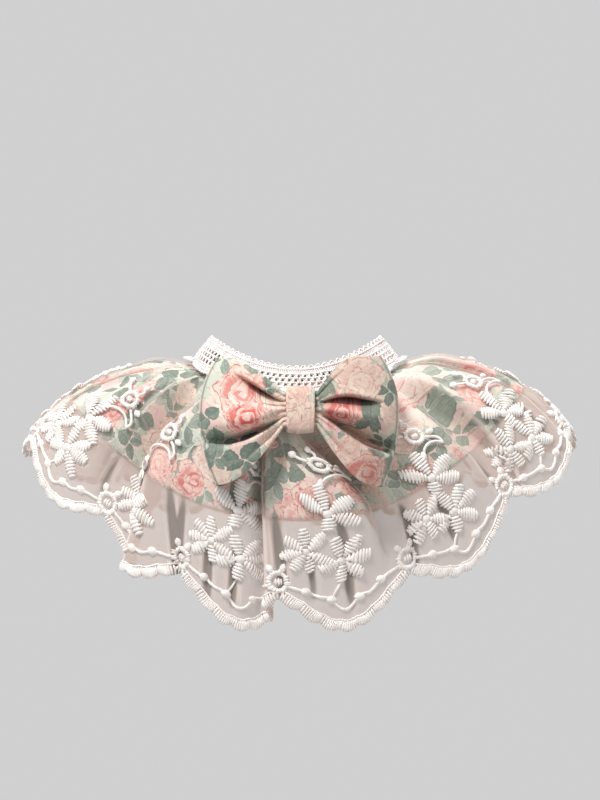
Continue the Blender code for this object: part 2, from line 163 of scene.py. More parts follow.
def shareAlong(points):
    run = np.append(0, np.cumsum(np.linalg.norm(np.diff(points, axis=0), axis=1)))
    return run / run[-1]


def foldLines():
    fold = dict(zip(foldNames, np.array(foldRows, float).T))
    floor = ruffle["floor"]
    topValley = (fold["topRight"] + np.append(fold["topLeft"][1:], ruffle["nape"])) / 2
    edge = fold["out"] * ruffle["edgeShare"]
    before = np.append(fold["kept"][0], fold["kept"][:-1])
    topMiddle, middle = (fold["topLeft"] + fold["topRight"]) / 2, (fold["left"] + fold["right"]) / 2
    tops = (fold["topLeft"], topMiddle, fold["topRight"], topValley - floor / 4, topValley + floor / 4)
    lows = (fold["left"], middle, fold["right"], fold["valley"] - floor / 2, fold["valley"] + floor / 2)
    rises = (edge, fold["out"], edge, -fold["back"], -fold["back"])
    kept = (before, (before + fold["kept"]) / 2, fold["kept"], fold["kept"], fold["kept"])
    return [np.stack(columns, axis=1).ravel()[:-2] for columns in (tops, lows, rises, kept)]


lineTop, lineLow, lineRise, lineKept = foldLines()
lineFlat = np.sort(lineLow)


def placeOfLines():
    level = np.full_like(lineLow, ruffle["middleDown"])
    return shareAlong(guide(lineLow, level) + lineRise[:, None] * outward(guide, lineLow, level))


linePlace = placeOfLines()


def folded(place, down):
    def across(values):
        return smoothThrough(place, linePlace, values)

    nearHem = ease((down - ruffle["hemFrom"]) / (ruffle["hemTo"] - ruffle["hemFrom"]))
    flattened = nearHem * (1 - across(lineKept))
    low = across(lineLow) + (across(lineFlat) - across(lineLow)) * flattened
    flare = 1 - np.exp(-((np.maximum(down, 0) / ruffle["flare"]) ** 2))
    angle = np.clip(across(lineTop) + (low - across(lineTop)) * flare, -ruffle["nape"], ruffle["nape"])
    deep = 1 - np.exp(-((np.maximum(down, 0) / ruffle["foldStart"]) ** ruffle["foldPower"]))
    rise = across(lineRise) * deep * (1 - flattened)
    gathered = bell(down - ruffle["gatherDown"], ruffle["gatherLength"])
    rise = rise + ruffle["gatherHeight"] * gathered * np.sin(2 * math.pi * ruffle["gathers"] * place)
    return guide(angle, down) + rise[..., None] * outward(guide, angle, down)


# small folds: where on the strip, from how far down to how far down, width, depth and lean
smallFolds = (
    (-430, 30, 112, 3.0, 1.6, 4), (-412, 8, 60, 3.4, 1.5, 6), (-393, 64, 116, 2.0, 2.2, -3),
    (-371, 10, 74, 3.2, 1.8, -5), (-352, 58, 108, 1.8, 2.0, 2), (-330, 6, 52, 3.0, 1.4, 5),
    (-318, 66, 118, 2.2, 2.3, 3), (-296, 8, 64, 3.4, 1.8, -6), (-281, 72, 112, 1.7, 1.9, -2),
    (-262, 12, 58, 2.8, 1.4, 4), (-247, 60, 110, 2.2, 2.1, 3), (-226, 6, 46, 3.0, 1.6, 5),
    (-209, 62, 114, 1.9, 2.0, -4), (-190, 8, 70, 3.6, 1.7, -5), (-171, 14, 52, 2.6, 1.2, 6),
    (-152, 6, 60, 3.2, 1.6, 4), (-139, 66, 104, 1.8, 1.6, 2), (-118, 10, 66, 3.4, 1.5, 3),
    (-98, 58, 112, 2.4, 2.0, -5), (-70, 64, 124, 2.5, 3.0, 20), (-67.5, 66, 118, 2.1, 2.6, 5),
    (-40, 8, 58, 3.4, 1.6, -4), (-36, 84, 118, 2.0, 2.6, 1), (-50, 78, 120, 2.3, 2.8, 4),
    (-14, 10, 62, 3.0, 1.4, -3), (5, 64, 112, 2.6, 2.8, 0), (14, 8, 50, 3.0, 1.2, 2),
    (20, 76, 112, 1.9, 2.0, 2), (38, 66, 118, 2.4, 2.8, 3), (57, 12, 58, 3.2, 1.4, 4),
    (76, 68, 114, 2.3, 2.8, -3), (88, 8, 62, 3.2, 1.5, 3), (98, 64, 110, 2.3, 2.6, 3),
    (117, 10, 56, 2.8, 1.3, -2), (134, 62, 112, 2.0, 1.6, 4), (149, 8, 60, 3.4, 1.5, 5),
    (168, 8, 48, 2.8, 1.3, -4), (181, 60, 106, 1.8, 1.8, 3), (203, 10, 66, 3.2, 1.7, 4),
    (222, 66, 116, 2.1, 2.2, -3), (240, 8, 54, 3.0, 1.5, 5), (259, 62, 112, 1.8, 1.9, 2),
    (277, 10, 70, 3.4, 1.8, -4), (295, 70, 118, 2.3, 2.3, 3), (314, 6, 50, 2.8, 1.4, 5),
    (332, 60, 108, 1.8, 1.9, -3), (351, 8, 62, 3.2, 1.7, 4), (372, 66, 114, 2.1, 2.2, 2),
    (391, 10, 56, 3.0, 1.5, -5), (409, 62, 110, 1.9, 2.0, 3), (427, 12, 64, 3.2, 1.6, 4),
)
clothGrid = {"across": 1900, "down": 96, "deepest": 129, "fine": 1500, "creaseStep": 6}
puckers = {  # at the seam, with the length and turn of each wave
    "height": 0.16, "down": 7, "length": 9, "waves": ((1.9, 0.4), (2.7, 2.1), (4.3, 4.4)),
}


def surfaceNormals(points):
    return unit(np.cross(np.gradient(points, axis=1), np.gradient(points, axis=0)))


def creasesOf(points, normals):
    # how sharply the surface turns across the folds: over 0 on a fold's edge, under 0 in a valley
    step = clothGrid["creaseStep"]
    ahead, behind = np.roll(points, -step, axis=0), np.roll(points, step, axis=0)
    bend = ((2 * points - ahead - behind) * normals).sum(axis=-1)
    sharp = bend / np.maximum(np.linalg.norm(ahead - behind, axis=-1), mm)
    sharp[:step], sharp[-step:] = 0, 0
    return np.clip(sharp, -1, 1)


def makeCloth():
    # the net's middle surface as a fine grid over the flat strip, with its small folds, normals and creases
    fine = np.linspace(0, 1, clothGrid["fine"])
    cut = (shareAlong(folded(fine, np.full_like(fine, ruffle["length"]))) - 0.5) * cutWidth
    strip = np.linspace(cut[0], cut[-1], clothGrid["across"])
    downs = np.linspace(0, clothGrid["deepest"], clothGrid["down"])
    across, down = np.meshgrid(strip, downs, indexing="ij")
    points = folded(np.interp(across, cut, fine), down)
    small = np.zeros_like(across)
    for at, start, end, width, depth, lean in smallFolds:
        share = np.clip((down - start) / (end - start), 0, 1)
        small -= depth * bell(across - at - lean * (share - 0.5), width) * np.sin(math.pi * share) ** 0.7
    waves = sum(np.sin(across / length + turn) for length, turn in puckers["waves"])
    pucker = puckers["height"] * waves * bell(down - puckers["down"], puckers["length"])
    points = points + surfaceNormals(points) * (small + pucker)[..., None]
    normals = surfaceNormals(points)
    return {
        "across": strip, "down": downs, "points": points, "normals": normals,
        "crease": creasesOf(points, normals), "pinch": -small,
    }


cloth = makeCloth()
stripEnd = cloth["across"][-1]


def readSheet(sheet, key, across, down):
    # a sheet's values between the points of its grid
    values = sheet[key]
    spots = []
    for at, marks in ((across, sheet["across"]), (down, sheet["down"])):
        spots.append(np.clip((at - marks[0]) / (marks[1] - marks[0]), 0, len(marks) - 1.001))
    i, j = (spot.astype(int) for spot in spots)
    u, v = spots[0] - i, spots[1] - j
    if values.ndim == 3:
        u, v = u[..., None], v[..., None]
    near = values[i, j] * (1 - v) + values[i, j + 1] * v
    far = values[i + 1, j] * (1 - v) + values[i + 1, j + 1] * v
    return near * (1 - u) + far * u


def onSheet(sheet, across, down, lift=0.0):
    # a point over the sheet: across and down on it as it lies flat, lifted off it
    across, down = np.asarray(across, float), np.asarray(down, float)
    normals = readSheet(sheet, "normals", across, down)
    return readSheet(sheet, "points", across, down) + normals * np.asarray(lift)[..., None]


def scallopWave(across, waves=1):
    return np.abs(np.sin(math.pi * waves * (across - ruffle["shift"]) / ruffle["pitch"]))


def hem(across):
    return ruffle["length"] + ruffle["scallopDepth"] * scallopWave(across) ** ruffle["sharpness"]


def lumpyHem(across):
    lumpy = scallopWave(across, ruffle["lumps"]) ** ruffle["lumpSharpness"] - ruffle["lumpShare"]
    return hem(across) + ruffle["lumpHeight"] * lumpy


print("cloth shaped")


# mesh builders
def dress(piece, node):
    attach(piece, "root")
    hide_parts(node)


def addPiece(name, points, faces, material):
    mesh = bpy.data.meshes.new(name)
    mesh.from_pydata((points * mm).tolist(), [], faces)
    mesh.materials.append(material)
    mesh.shade_smooth()
    return addObject(name, mesh)


def addGrid(name, points, flat, material, node, thickness=0, flip=False):
    # cloth from a grid of points. Its flat coordinates in mm are the UV map that the patterns read
    columns, rows = points.shape[:2]
    i, j = np.meshgrid(np.arange(columns - 1), np.arange(rows - 1), indexing="ij")
    a = (i * rows + j).ravel()
    quads = np.stack((a, a + 1, a + rows + 1, a + rows), axis=1)
    piece = addPiece(name, points.reshape(-1, 3), (quads[:, ::-1] if flip else quads).tolist(), material)
    dress(piece, node)
    layer = piece.data.uv_layers.new(name="flat")
    corners = np.empty(len(piece.data.loops), np.int32)
    piece.data.loops.foreach_get("vertex_index", corners)
    layer.data.foreach_set("uv", flat.reshape(-1, 2)[corners].astype(np.float32).ravel())
    if thickness:
        shell = piece.modifiers.new("thickness", "SOLIDIFY")
        shell.thickness = thickness * mm
        shell.offset = 0
    return piece


def pointValue(piece, name, values):
    made = piece.data.attributes.new(name, "FLOAT", "POINT")
    made.data.foreach_set("value", values.astype(np.float32).ravel())


def newThreads():
    return {"points": [], "faces": [], "count": 0}


def addThreads(piece, paths, normals, radius, wide, tall, sides, taper=0.65):
    # round threads along paths (threads, points, 3), closed at both ends
    threads, length = paths.shape[:2]
    tangent = unit(np.gradient(paths, axis=1))
    side = unit(np.cross(tangent, normals))
    up = np.cross(side, tangent)
    size = np.broadcast_to(np.asarray(radius, float), (threads, length)).copy()
    size[:, 0] *= taper
    size[:, -1] *= taper
    turn = 2 * math.pi * np.arange(sides) / sides
    ring = wide * np.cos(turn)[:, None] * side[:, :, None] + tall * np.sin(turn)[:, None] * up[:, :, None]
    points = paths[:, :, None] + size[:, :, None, None] * ring
    reach = tangent * size[..., None] * wide * 0.6  # how far the tips stand out
    tips = np.stack((paths[:, 0] - reach[:, 0], paths[:, -1] + reach[:, -1]), axis=1)
    piece["points"].append(np.concatenate((points.reshape(threads, -1, 3), tips), axis=1).reshape(-1, 3))
    tip, last = length * sides, (length - 1) * sides
    start = piece["count"] + (tip + 2) * np.arange(threads)[:, None, None]
    i, j = np.meshgrid(sides * np.arange(length - 1), np.arange(sides), indexing="ij")
    j1 = (j + 1) % sides
    quads = np.stack((i + j, i + sides + j, i + sides + j1, i + j1), axis=-1).reshape(1, -1, 4)
    k, k1 = np.arange(sides), (np.arange(sides) + 1) % sides
    first = np.stack((np.full(sides, tip), k, k1), axis=1)
    ends = np.concatenate((first, np.stack((np.full(sides, tip + 1), last + k1, last + k), axis=1)))[None]
    piece["faces"] += (quads + start).reshape(-1, 4).tolist() + (ends + start).reshape(-1, 3).tolist()
    piece["count"] += (tip + 2) * threads


def finishThreads(name, piece, material):
    made = addPiece(name, np.concatenate(piece["points"]), piece["faces"], material)
    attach(made, "root")
    print(name, len(piece["faces"]), "faces")
    return made


# shader helpers. They add to one node tree at a time
origin = (0.0, 0.0, 0.0)
middleGrey = (0.5, 0.5, 0.5)  # what noise gives on average


def colour(*parts):
    # for a socket, from a colour as a picture shows it, 0 to 255
    return tuple((part / 255) ** 2.2 for part in parts) + (1.0,)


def useTree(chosen):
    global tree
    tree = chosen
    return tree


def operator(operation, swapped=False):
    def result(first, second):
        return combined(operation, second, first) if swapped else combined(operation, first, second)

    return result


class Value:
    # a node's result, so that sums of them are written as sums
    def __init__(self, socket):
        self.socket = socket

    __add__, __radd__ = operator("ADD"), operator("ADD", True)
    __sub__, __rsub__ = operator("SUBTRACT"), operator("SUBTRACT", True)
    __mul__, __rmul__ = operator("MULTIPLY"), operator("MULTIPLY", True)
    __truediv__, __rtruediv__ = operator("DIVIDE"), operator("DIVIDE", True)
    __pow__, __mod__, __lt__ = operator("POWER"), operator("MODULO"), operator("LESS_THAN")

    def __abs__(self):
        return calc("ABSOLUTE", self)


def plug(socket, value):
    if isinstance(value, Value):
        tree.links.new(value.socket, socket)
    else:
        socket.default_value = colour(*value) if socket.type == "RGBA" else value


def addNode(kind, inputs, **settings):
    # the new node's results, by name and by number
    made = tree.nodes.new("ShaderNode" + kind)
    for key, value in settings.items():
        setattr(made, key, value)
    for key, value in inputs.items():
        plug(made.inputs[key], value)
    return resultsOf(made)


def resultsOf(node):
    results = {}
    for number, socket in enumerate(node.outputs):
        results[number] = results[socket.name] = Value(socket)
    return results


def calc(operation, *values):
    return addNode("Math", dict(enumerate(values)), operation=operation)[0]


def combined(operation, first, second):
    def isVector(value):
        return value.socket.type != "VALUE" if isinstance(value, Value) else isinstance(value, tuple)

    vectors = isVector(first), isVector(second)
    if all(vectors):
        return addNode("VectorMath", {0: first, 1: second}, operation=operation)[0]
    if any(vectors):
        return addNode("VectorMath", {0: first, "Scale": second}, operation="SCALE")[0]
    return calc(operation, first, second)


def clamped(value):
    value.socket.node.use_clamp = True
    return value


def lengthOf(value):
    return addNode("VectorMath", {0: value}, operation="LENGTH")["Value"]


def smoothStep(value, low, high, start=0.0, end=1.0):
    inputs = {"Value": value, "From Min": low, "From Max": high, "To Min": start, "To Max": end}
    return addNode("MapRange", inputs, interpolation_type="SMOOTHSTEP")["Result"]


def mixColour(share, first, second, blend="MIX"):
    return addNode("Mix", {0: share, 6: first, 7: second}, data_type="RGBA", blend_type=blend)[2]


def mixVector(share, first, second):
    return addNode("Mix", {0: share, 4: first, 5: second}, data_type="VECTOR")[1]


def noise(place, scale, detail=2.0, roughness=0.5, key="Fac"):
    inputs = {"Vector": place, "Scale": scale, "Detail": detail, "Roughness": roughness}
    return addNode("TexNoise", inputs)[key]


def drift(place, scale, roughness=0.5):
    return noise(place, scale, 2.0, roughness, "Color") - middleGrey


def splitVector(value):
    return addNode("SeparateXYZ", {0: value})


def joinVector(x, y, z=0.0):
    return addNode("CombineXYZ", {0: x, 1: y, 2: z})[0]


def turned(place, angle):
    return addNode("VectorRotate", {"Vector": place, "Angle": angle}, rotation_type="Z_AXIS")[0]


def flatPlace():
    return addNode("UVMap", {}, uv_map="flat")[0]


def objectPlace():
    return addNode("TexCoord", {})["Object"]


def attribute(name):
    return addNode("Attribute", {}, attribute_name=name)["Fac"]


def newGroup(name, **inputs):
    group = useTree(bpy.data.node_groups.new(name, "ShaderNodeTree"))
    for label, value in inputs.items():
        kind = "Float" if isinstance(value, float) else "Vector" if value == origin else "Color"
        socket = group.interface.new_socket(label, in_out="INPUT", socket_type="NodeSocket" + kind)
        socket.default_value = colour(*value) if kind == "Color" else value
    return resultsOf(group.nodes.new("NodeGroupInput"))


def finishGroup(**results):
    kinds = {"VALUE": "NodeSocketFloat", "RGBA": "NodeSocketColor"}
    for label, value in results.items():
        tree.interface.new_socket(label, in_out="OUTPUT", socket_type=kinds[value.socket.type])
    end = tree.nodes.new("NodeGroupOutput")
    for label, value in results.items():
        plug(end.inputs[label], value)
    return tree


def useGroup(group, **values):
    return addNode("Group", values, node_tree=group)


def newMaterial(name, roughness, sheen, specular):
    made = bpy.data.materials.new(name)
    made.use_nodes = True
    shader = useTree(made.node_tree).nodes["Principled BSDF"].inputs
    for key, value in {"Roughness": roughness, "Sheen Weight": sheen, "Specular IOR Level": specular}.items():
        plug(shader[key], value)
    return made, shader


def addBump(shader, height, strength, distance):
    inputs = {"Strength": strength, "Distance": distance * mm, "Height": height}
    plug(shader["Normal"], addNode("Bump", inputs)[0])


# shared patterns, all in mm on the flat cloth
def makePetalRing():
    # one ring of petals round a bloom: inside it, along its outline, and how far out in it
    given = newGroup("petalRing", Away=0.0, Angle=0.0, Size=1.0, Petals=5.0, Turn=0.0)
    wave = abs(calc("SINE", (given["Angle"] + given["Turn"]) * (given["Petals"] * 0.5)))
    share = given["Away"] / (given["Size"] * (wave**0.55 * 0.22 + 0.78))
    inside = smoothStep(share, 1.02, 0.98)
    rim = smoothStep(share, 0.9, 0.98) * inside
    joint = smoothStep(wave, 0.12, 0.03) * (inside * smoothStep(share, 0.5, 0.8))
    return finishGroup(Mask=inside, Line=calc("MAXIMUM", rim, joint), Tone=share)


petalRing = makePetalRing()
bloom = {  # rings from the outside in: size, petals, turn, how strong the colour is
    "rings": (
        (1.0, 5.0, 0.3, 0.5), (0.79, 4.0, 1.1, 0.7), (0.57, 4.0, 0.2, 0.85), (0.37, 3.0, 1.4, 1.0),
        (0.18, 2.0, 0.5, 1.2),
    ),
    "wobble": 0.544, "centre": (0.14, -0.12, 0),
}


def makeBloom():
    # an open garden rose seen from the front, round the origin of Place, drawn with thin broken lines
    given = newGroup(
        "roseBloom", Place=origin, Size=12.0, Seed=origin, Pale=(246, 214, 200), Deep=(226, 122, 112),
        Ink=(190, 84, 80),
    )
    seeded = given["Place"] + given["Seed"]
    small = given["Place"] * (1.0 / given["Size"])
    small = small + drift(seeded, 0.11, 0.55) * bloom["wobble"]
    axes = splitVector(small)
    angle = calc("ARCTAN2", axes["Y"], axes["X"])
    away, offCentre = lengthOf(small), lengthOf(small - bloom["centre"])
    wash = noise(seeded, 0.2, 3.0, 0.6)
    broken = smoothStep(noise(seeded, 0.4), 0.36, 0.56)
    spokes = joinVector(calc("COSINE", angle), calc("SINE", angle), away * 0.5)
    veins = abs(noise(spokes * 2.4 + given["Seed"], 1.0, 1.0) - 0.5)
    veins = smoothStep(veins, 0.03, 0.008) * smoothStep(away, 0.25, 0.5)
    for number, (size, petals, turn, strength) in enumerate(bloom["rings"]):
        centred = away if number < 2 else offCentre
        ring = useGroup(petalRing, Away=centred, Angle=angle, Size=size, Petals=petals, Turn=turn)
        side = calc("COSINE", angle + (2.4 * number + 0.8))
        depth = smoothStep(ring["Tone"], 0.7, 0.97, 1.0, 0.1) * smoothStep(side, -0.8, 0.7, 0.25, 1.25)
        depth = clamped(depth * strength + (wash - 0.5) * 1.6)
        petal = mixColour(depth, given["Pale"], given["Deep"])
        petal = mixColour(ring["Line"] * broken * 0.85, petal, given["Ink"])
        if number == 0:
            shown, mask = petal, ring["Mask"]
        else:
            shown = mixColour(ring["Mask"], shown, petal)
    return finishGroup(Colour=mixColour(veins * 0.35, shown, given["Ink"]), Mask=mask)


def makeLeaf():
    # one leaf from the origin of Place along its x, with a midrib and side veins
    given = newGroup("leafShape", Place=origin, Length=12.0, Width=3.4)
    axes = splitVector(given["Place"])
    along, aside = axes["X"] / given["Length"], abs(axes["Y"]) / given["Width"]
    inRange = calc("MINIMUM", calc("MAXIMUM", along, 0.0), 1.0)
    shape = calc("SINE", inRange**0.8 * math.pi)
    teeth = abs(calc("SINE", along * 17.0))
    room = calc("MAXIMUM", shape, 0.0) ** 0.8 + teeth * 0.07 - aside
    inside = smoothStep(room, 0.02, 0.1) * smoothStep(along, 0.0, 0.03) * smoothStep(along, 1.02, 0.99)
    slant = calc("FRACT", along * 5.0 - aside * 0.9)
    sideVeins = smoothStep(abs(slant - 0.5), 0.09, 0.03) * 0.7
    return finishGroup(
        Mask=inside, Vein=calc("MAXIMUM", smoothStep(aside, 0.1, 0.03), sideVeins),
        Rim=smoothStep(room, 0.22, 0.1), Half=smoothStep(axes["Y"], -0.2, 0.2),
    )


leafShape = makeLeaf()


def makeSpray():
    # a few leaves round the origin of Place
    given = newGroup("leafSpray", Place=origin, Leaves=3.0, Start=2.0, Length=12.0, Width=3.4)
    axes = splitVector(given["Place"])
    away = lengthOf(given["Place"])
    angle = calc("ARCTAN2", axes["Y"], axes["X"])
    angle = angle + calc("SINE", angle + 1.0) * 0.45
    sector = 2 * math.pi / given["Leaves"]
    shifted = angle + 4 * math.pi + sector * 0.5
    local = shifted % sector - sector * 0.5
    x = away * calc("COSINE", local) - given["Start"]
    y = away * calc("SINE", local)
    bent = y + calc("SINE", x * 0.22) * 0.9
    which = calc("FRACT", calc("FLOOR", shifted / sector) * 0.38)
    length = given["Length"] * (0.72 + which * 0.45)
    leaf = useGroup(leafShape, Place=joinVector(x, bent), Length=length, Width=given["Width"])
    return finishGroup(**{key: leaf[key] for key in ("Mask", "Vein", "Rim", "Half")}, Which=which)


roseBloom, leafSpray = makeBloom(), makeSpray()
roseCotton = {  # the printed cotton: sizes in mm, colours
    "drift": 3.0, "fineDrift": 1.1, "turn": 6.28,
    # cell size, randomness, shift, leaves, start, length, width, share of cells that have them, then the
    # light, dark and line colours
    "leaves": (
        (16, 0.9, (17, -6, 0), 4.0, 0.5, 7.5, 2.3, 0.8, (218, 221, 207), (196, 204, 190), (140, 152, 138)),
        (19, 0.85, (3, 8, 0), 3.0, 0.8, 9.0, 3.0, 0.75, (188, 198, 183), (142, 158, 145), (106, 123, 113)),
        (27, 0.9, (-9, 21, 0), 3.0, 1.4, 10.0, 3.3, 0.7, (156, 171, 157), (110, 127, 117), (86, 103, 95)),
    ),
    # cell size, randomness, shift, size, pale, deep and line colours, share of cells that have one
    "blooms": (
        (25, 0.85, (11, -14, 0), 6.4, (248, 232, 218), (238, 206, 190), (190, 148, 132), 0.5),
        (43, 0.6, (0, 0, 0), 12.0, (250, 222, 210), (228, 124, 114), (196, 84, 80), 0.8),
    ),
    "ground": ((240, 226, 211), (238, 208, 202), (214, 221, 207)),
}


def drifting(place):
    return place + drift(place, 0.6) * roseCotton["fineDrift"]


def scattered(place, size, random, shift, turnBy):
    # the pattern's own place in each cell, turned at random, with the cell's middle and random values
    shifted = place + shift
    inputs = {"Vector": shifted, "Scale": 1 / size, "Randomness": random}
    cell = addNode("TexVoronoi", inputs, voronoi_dimensions="2D")
    tone = splitVector(cell["Color"])
    return turned(shifted - cell["Position"], tone[turnBy] * roseCotton["turn"]), cell["Position"], tone


def paintLeaf(spray, mottle, light, dark, ink):
    # watercolour greens: two tones, broken veins and a broken outline
    tone = spray["Half"] * 0.35 + smoothStep(mottle, 0.32, 0.68, -0.2, 0.6)
    green = mixColour(clamped(tone + spray["Which"] * 0.4), light, dark)
    green = mixColour(spray["Vein"] * smoothStep(mottle, 0.62, 0.44) * 0.7, green, ink)
    return mixColour(spray["Rim"] * smoothStep(mottle, 0.3, 0.6, 0.85, 0.35), green, ink)


def makePrint():
    # roses, buds and leaves scattered on cream. A piece's own blooms are laid over it by its material
    given = newGroup("rosePrint", Place=origin)
    place = drifting(given["Place"]) + drift(given["Place"], 0.12) * roseCotton["drift"]
    wash = noise(place, 0.06)
    cream, pink, mint = roseCotton["ground"]
    shown = mixColour(smoothStep(wash, 0.5, 0.58), cream, pink)
    shown = mixColour(smoothStep(wash, 0.5, 0.42), shown, mint)
    twig = abs(noise(place, 0.13) - 0.5)
    shown = mixColour(smoothStep(twig, 0.014, 0.004, 0.0, 0.5), shown, (122, 134, 118))
    mottle = noise(place, 0.42, 3.0, 0.6)
    for cell, random, shift, leaves, start, length, width, share, light, dark, ink in roseCotton["leaves"]:
        local, middle, tone = scattered(place, cell, random, shift, "X")
        length = length * (0.8 + tone["Y"] * 0.4)
        spray = useGroup(leafSpray, Place=local, Leaves=leaves, Start=start, Length=length, Width=width)
        green = paintLeaf(spray, mottle, mixColour(tone["Y"] * 0.5, light, dark), dark, ink)
        shown = mixColour(spray["Mask"] * (tone["Z"] < share), shown, green)
    for cell, random, shift, size, pale, deep, ink, share in roseCotton["blooms"]:
        local, middle, tone = scattered(place, cell, random, shift, "Z")
        size = size * (0.8 + tone["Y"] * 0.3)
        deep = mixColour(tone["Y"] * 0.6, deep, pale)
        flower = useGroup(roseBloom, Place=local, Size=size, Seed=middle, Pale=pale, Deep=deep, Ink=ink)
        shown = mixColour(flower["Mask"] * (tone["X"] < share), shown, flower["Colour"])
    return finishGroup(Colour=shown)


def makeWeave():
    # plain weave: threads that pass over and under each other
    given = newGroup("plainWeave", Place=origin, Pitch=0.42)
    axes = splitVector(given["Place"] * (2 * math.pi / given["Pitch"]))
    threads = calc("MAXIMUM", calc("SINE", axes["X"]), calc("SINE", axes["Y"]))
    crossed = calc("SINE", axes["X"] * 0.5) * calc("SINE", axes["Y"] * 0.5)
    slub = noise(given["Place"] * (0.4, 3.0, 1.0), 1.0)
    return finishGroup(Height=(threads + crossed * 0.6) * 0.3 + slub)


def makeNetCells():
    # six-sided net: 1 on the threads and 0 in the holes
    given = newGroup("netCells", Place=origin, Pitch=1.0)
    axes = splitVector(given["Place"] * (4 * math.pi / math.sqrt(3) / given["Pitch"]))
    halfX, otherY = axes["X"] * 0.5, axes["Y"] * (math.sqrt(3) / 2)
    waves = calc("COSINE", axes["X"]) + calc("COSINE", halfX + otherY) + calc("COSINE", halfX - otherY)
    return finishGroup(Thread=smoothStep(waves, 0.6, -0.9))


def makeThreadSurface():
    # the fine strands and fuzz of a stitched thread
    given = newGroup("threadStrands", Base=(230, 230, 230), Shade=(200, 200, 200))
    place = objectPlace()
    strands = noise(place, 2600.0, 2.0, 0.6)
    soft = noise(place, 240.0)
    shown = mixColour(smoothStep(soft, 0.35, 0.7), given["Shade"], given["Base"])
    return finishGroup(Colour=shown, Height=strands + soft)


rosePrint, plainWeave, netCells, threadStrands = makePrint(), makeWeave(), makeNetCells(), makeThreadSurface()


def nearestOf(place, rows):
    # of the rows (x, y, size, two values) the one whose middle is nearest for its size
    local = None
    for x, y, *values in rows:
        offset = place - (x, y, 0)
        distance = lengthOf(offset) / values[0]
        if local is None:
            local, away, chosen = offset, distance, tuple(values)
            continue
        closer = distance < away
        local, chosen = mixVector(closer, local, offset), mixVector(closer, chosen, tuple(values))
        away = calc("MINIMUM", away, distance)
    return local, splitVector(chosen)


printLook = {  # colours from the first to the second by each row's own value
    "light": ((186, 196, 181), (142, 158, 145)), "dark": ((144, 159, 146), (100, 118, 109)),
    "pale": ((246, 234, 221), (246, 214, 202)), "deep": ((238, 213, 200), (214, 92, 88)),
    # seam: painted shade for the gap along the bow's outer edge
    "bloomInk": ((190, 138, 124), (182, 70, 70)), "ink": (84, 102, 94), "seam": (92, 104, 96),
    "worn": (255, 252, 246), "weave": 0.42,
}


def between(key, value):
    return mixColour(value, *printLook[key])


def printedCotton(name, blooms=(), sprays=(), shift=(0, 0, 0), tintAndPaintedShade=(255, 255, 255), seam=0.0):
    # the rose print, with blooms (x, y, size, deep, seed) and sprays (x, y, length, turn, dark) of its own
    made, shader = newMaterial(name, 0.9, 0.12, 0.2)
    place = flatPlace()
    shown = useGroup(rosePrint, Place=place + shift)["Colour"]
    drawn = drifting(place)
    if sprays:
        local, value = nearestOf(drawn, sprays)
        length = value["X"]
        local = turned(local, value["Y"])
        spray = useGroup(leafSpray, Place=local, Leaves=3.0, Start=0.4, Length=length, Width=length * 0.35)
        light, dark = between("light", value["Z"]), between("dark", value["Z"])
        green = paintLeaf(spray, noise(place, 0.42, 3.0, 0.6), light, dark, printLook["ink"])
        shown = mixColour(spray["Mask"], shown, green)
    if blooms:
        local, value = nearestOf(drawn, blooms)
        flower = useGroup(
            roseBloom, Place=local, Size=value["X"], Seed=joinVector(value["Z"], value["X"], value["Z"]),
            Pale=between("pale", value["Y"]), Deep=between("deep", value["Y"]),
            Ink=between("bloomInk", value["Y"]),
        )
        shown = mixColour(flower["Mask"], shown, flower["Colour"])
    # the tint multiplies the cloth's colour: on the neckband it is the cloth's own pink tint, on the bow
    # halves and the knot it is painted shade that darkens them
    shown = mixColour(1.0, shown, tintAndPaintedShade, "MULTIPLY")
    # painted shade: a dark line along the bow's outer edge stands in for the shade in the gap between its two
    # layers at the seam
    if seam:
        shown = mixColour(attribute("seam") * seam, shown, printLook["seam"])
    height = useGroup(plainWeave, Place=place, Pitch=printLook["weave"])["Height"]
    # the cloth is lighter where the weave stands highest
    worn = smoothStep(height, 0.3, 1.1, 0.0, 0.07)
    plug(shader["Base Color"], mixColour(worn, shown, printLook["worn"]))
    addBump(shader, height, 0.25, 0.06)
    return made


# deep is painted shade for the fold valleys, edge a painted highlight along the fold edges, pinched painted
# shade in the small folds' troughs; the covers make the net denser there, where it lies doubled
netLook = {
    "pitch": 1.0, "onCotton": 0.13, "cover": 0.6, "grain": 0.07, "edgeCover": 0.42, "valleyCover": 0.06,
    "pinchCover": 0.34, "cottonHem": (-66.0, -71.5), "base": (212, 192, 182), "deep": (178, 155, 144),
    "edge": (246, 232, 224), "pinched": (149, 138, 131),
}


def netMaterial():
    made, shader = newMaterial("embroideredNet", 0.75, 0.25, 0.25)
    place = flatPlace()
    thread = useGroup(netCells, Place=place, Pitch=netLook["pitch"])["Thread"]
    crease = attribute("crease")
    edge, valley = smoothStep(crease, 0.1, 0.5), smoothStep(crease, -0.08, -0.45)
    pinched = smoothStep(attribute("pinch"), 0.35, 1.4)
    # painted shade in the valleys and in the small folds' troughs, and a painted highlight along the fold
    # edges
    base = mixColour(valley * 0.5, netLook["base"], netLook["deep"])
    base = mixColour(edge * 0.6, base, netLook["edge"])
    plug(shader["Base Color"], mixColour(pinched, base, netLook["pinched"]))
    below = smoothStep(splitVector(place)["Y"], *netLook["cottonHem"])  # past the cotton's hem
    patch = smoothStep(noise(place, 0.03), 0.3, 0.7, -0.05, 0.05)
    cover = smoothStep(below, 0.0, 1.0, netLook["onCotton"], netLook["cover"]) + patch
    cover = cover + (thread - 0.45) * netLook["grain"] + edge * netLook["edgeCover"]
    cover = cover + valley * netLook["valleyCover"] + pinched * below * netLook["pinchCover"]
    plug(shader["Alpha"], clamped(cover))
    addBump(shader, thread, 0.3, 0.1)
    return made


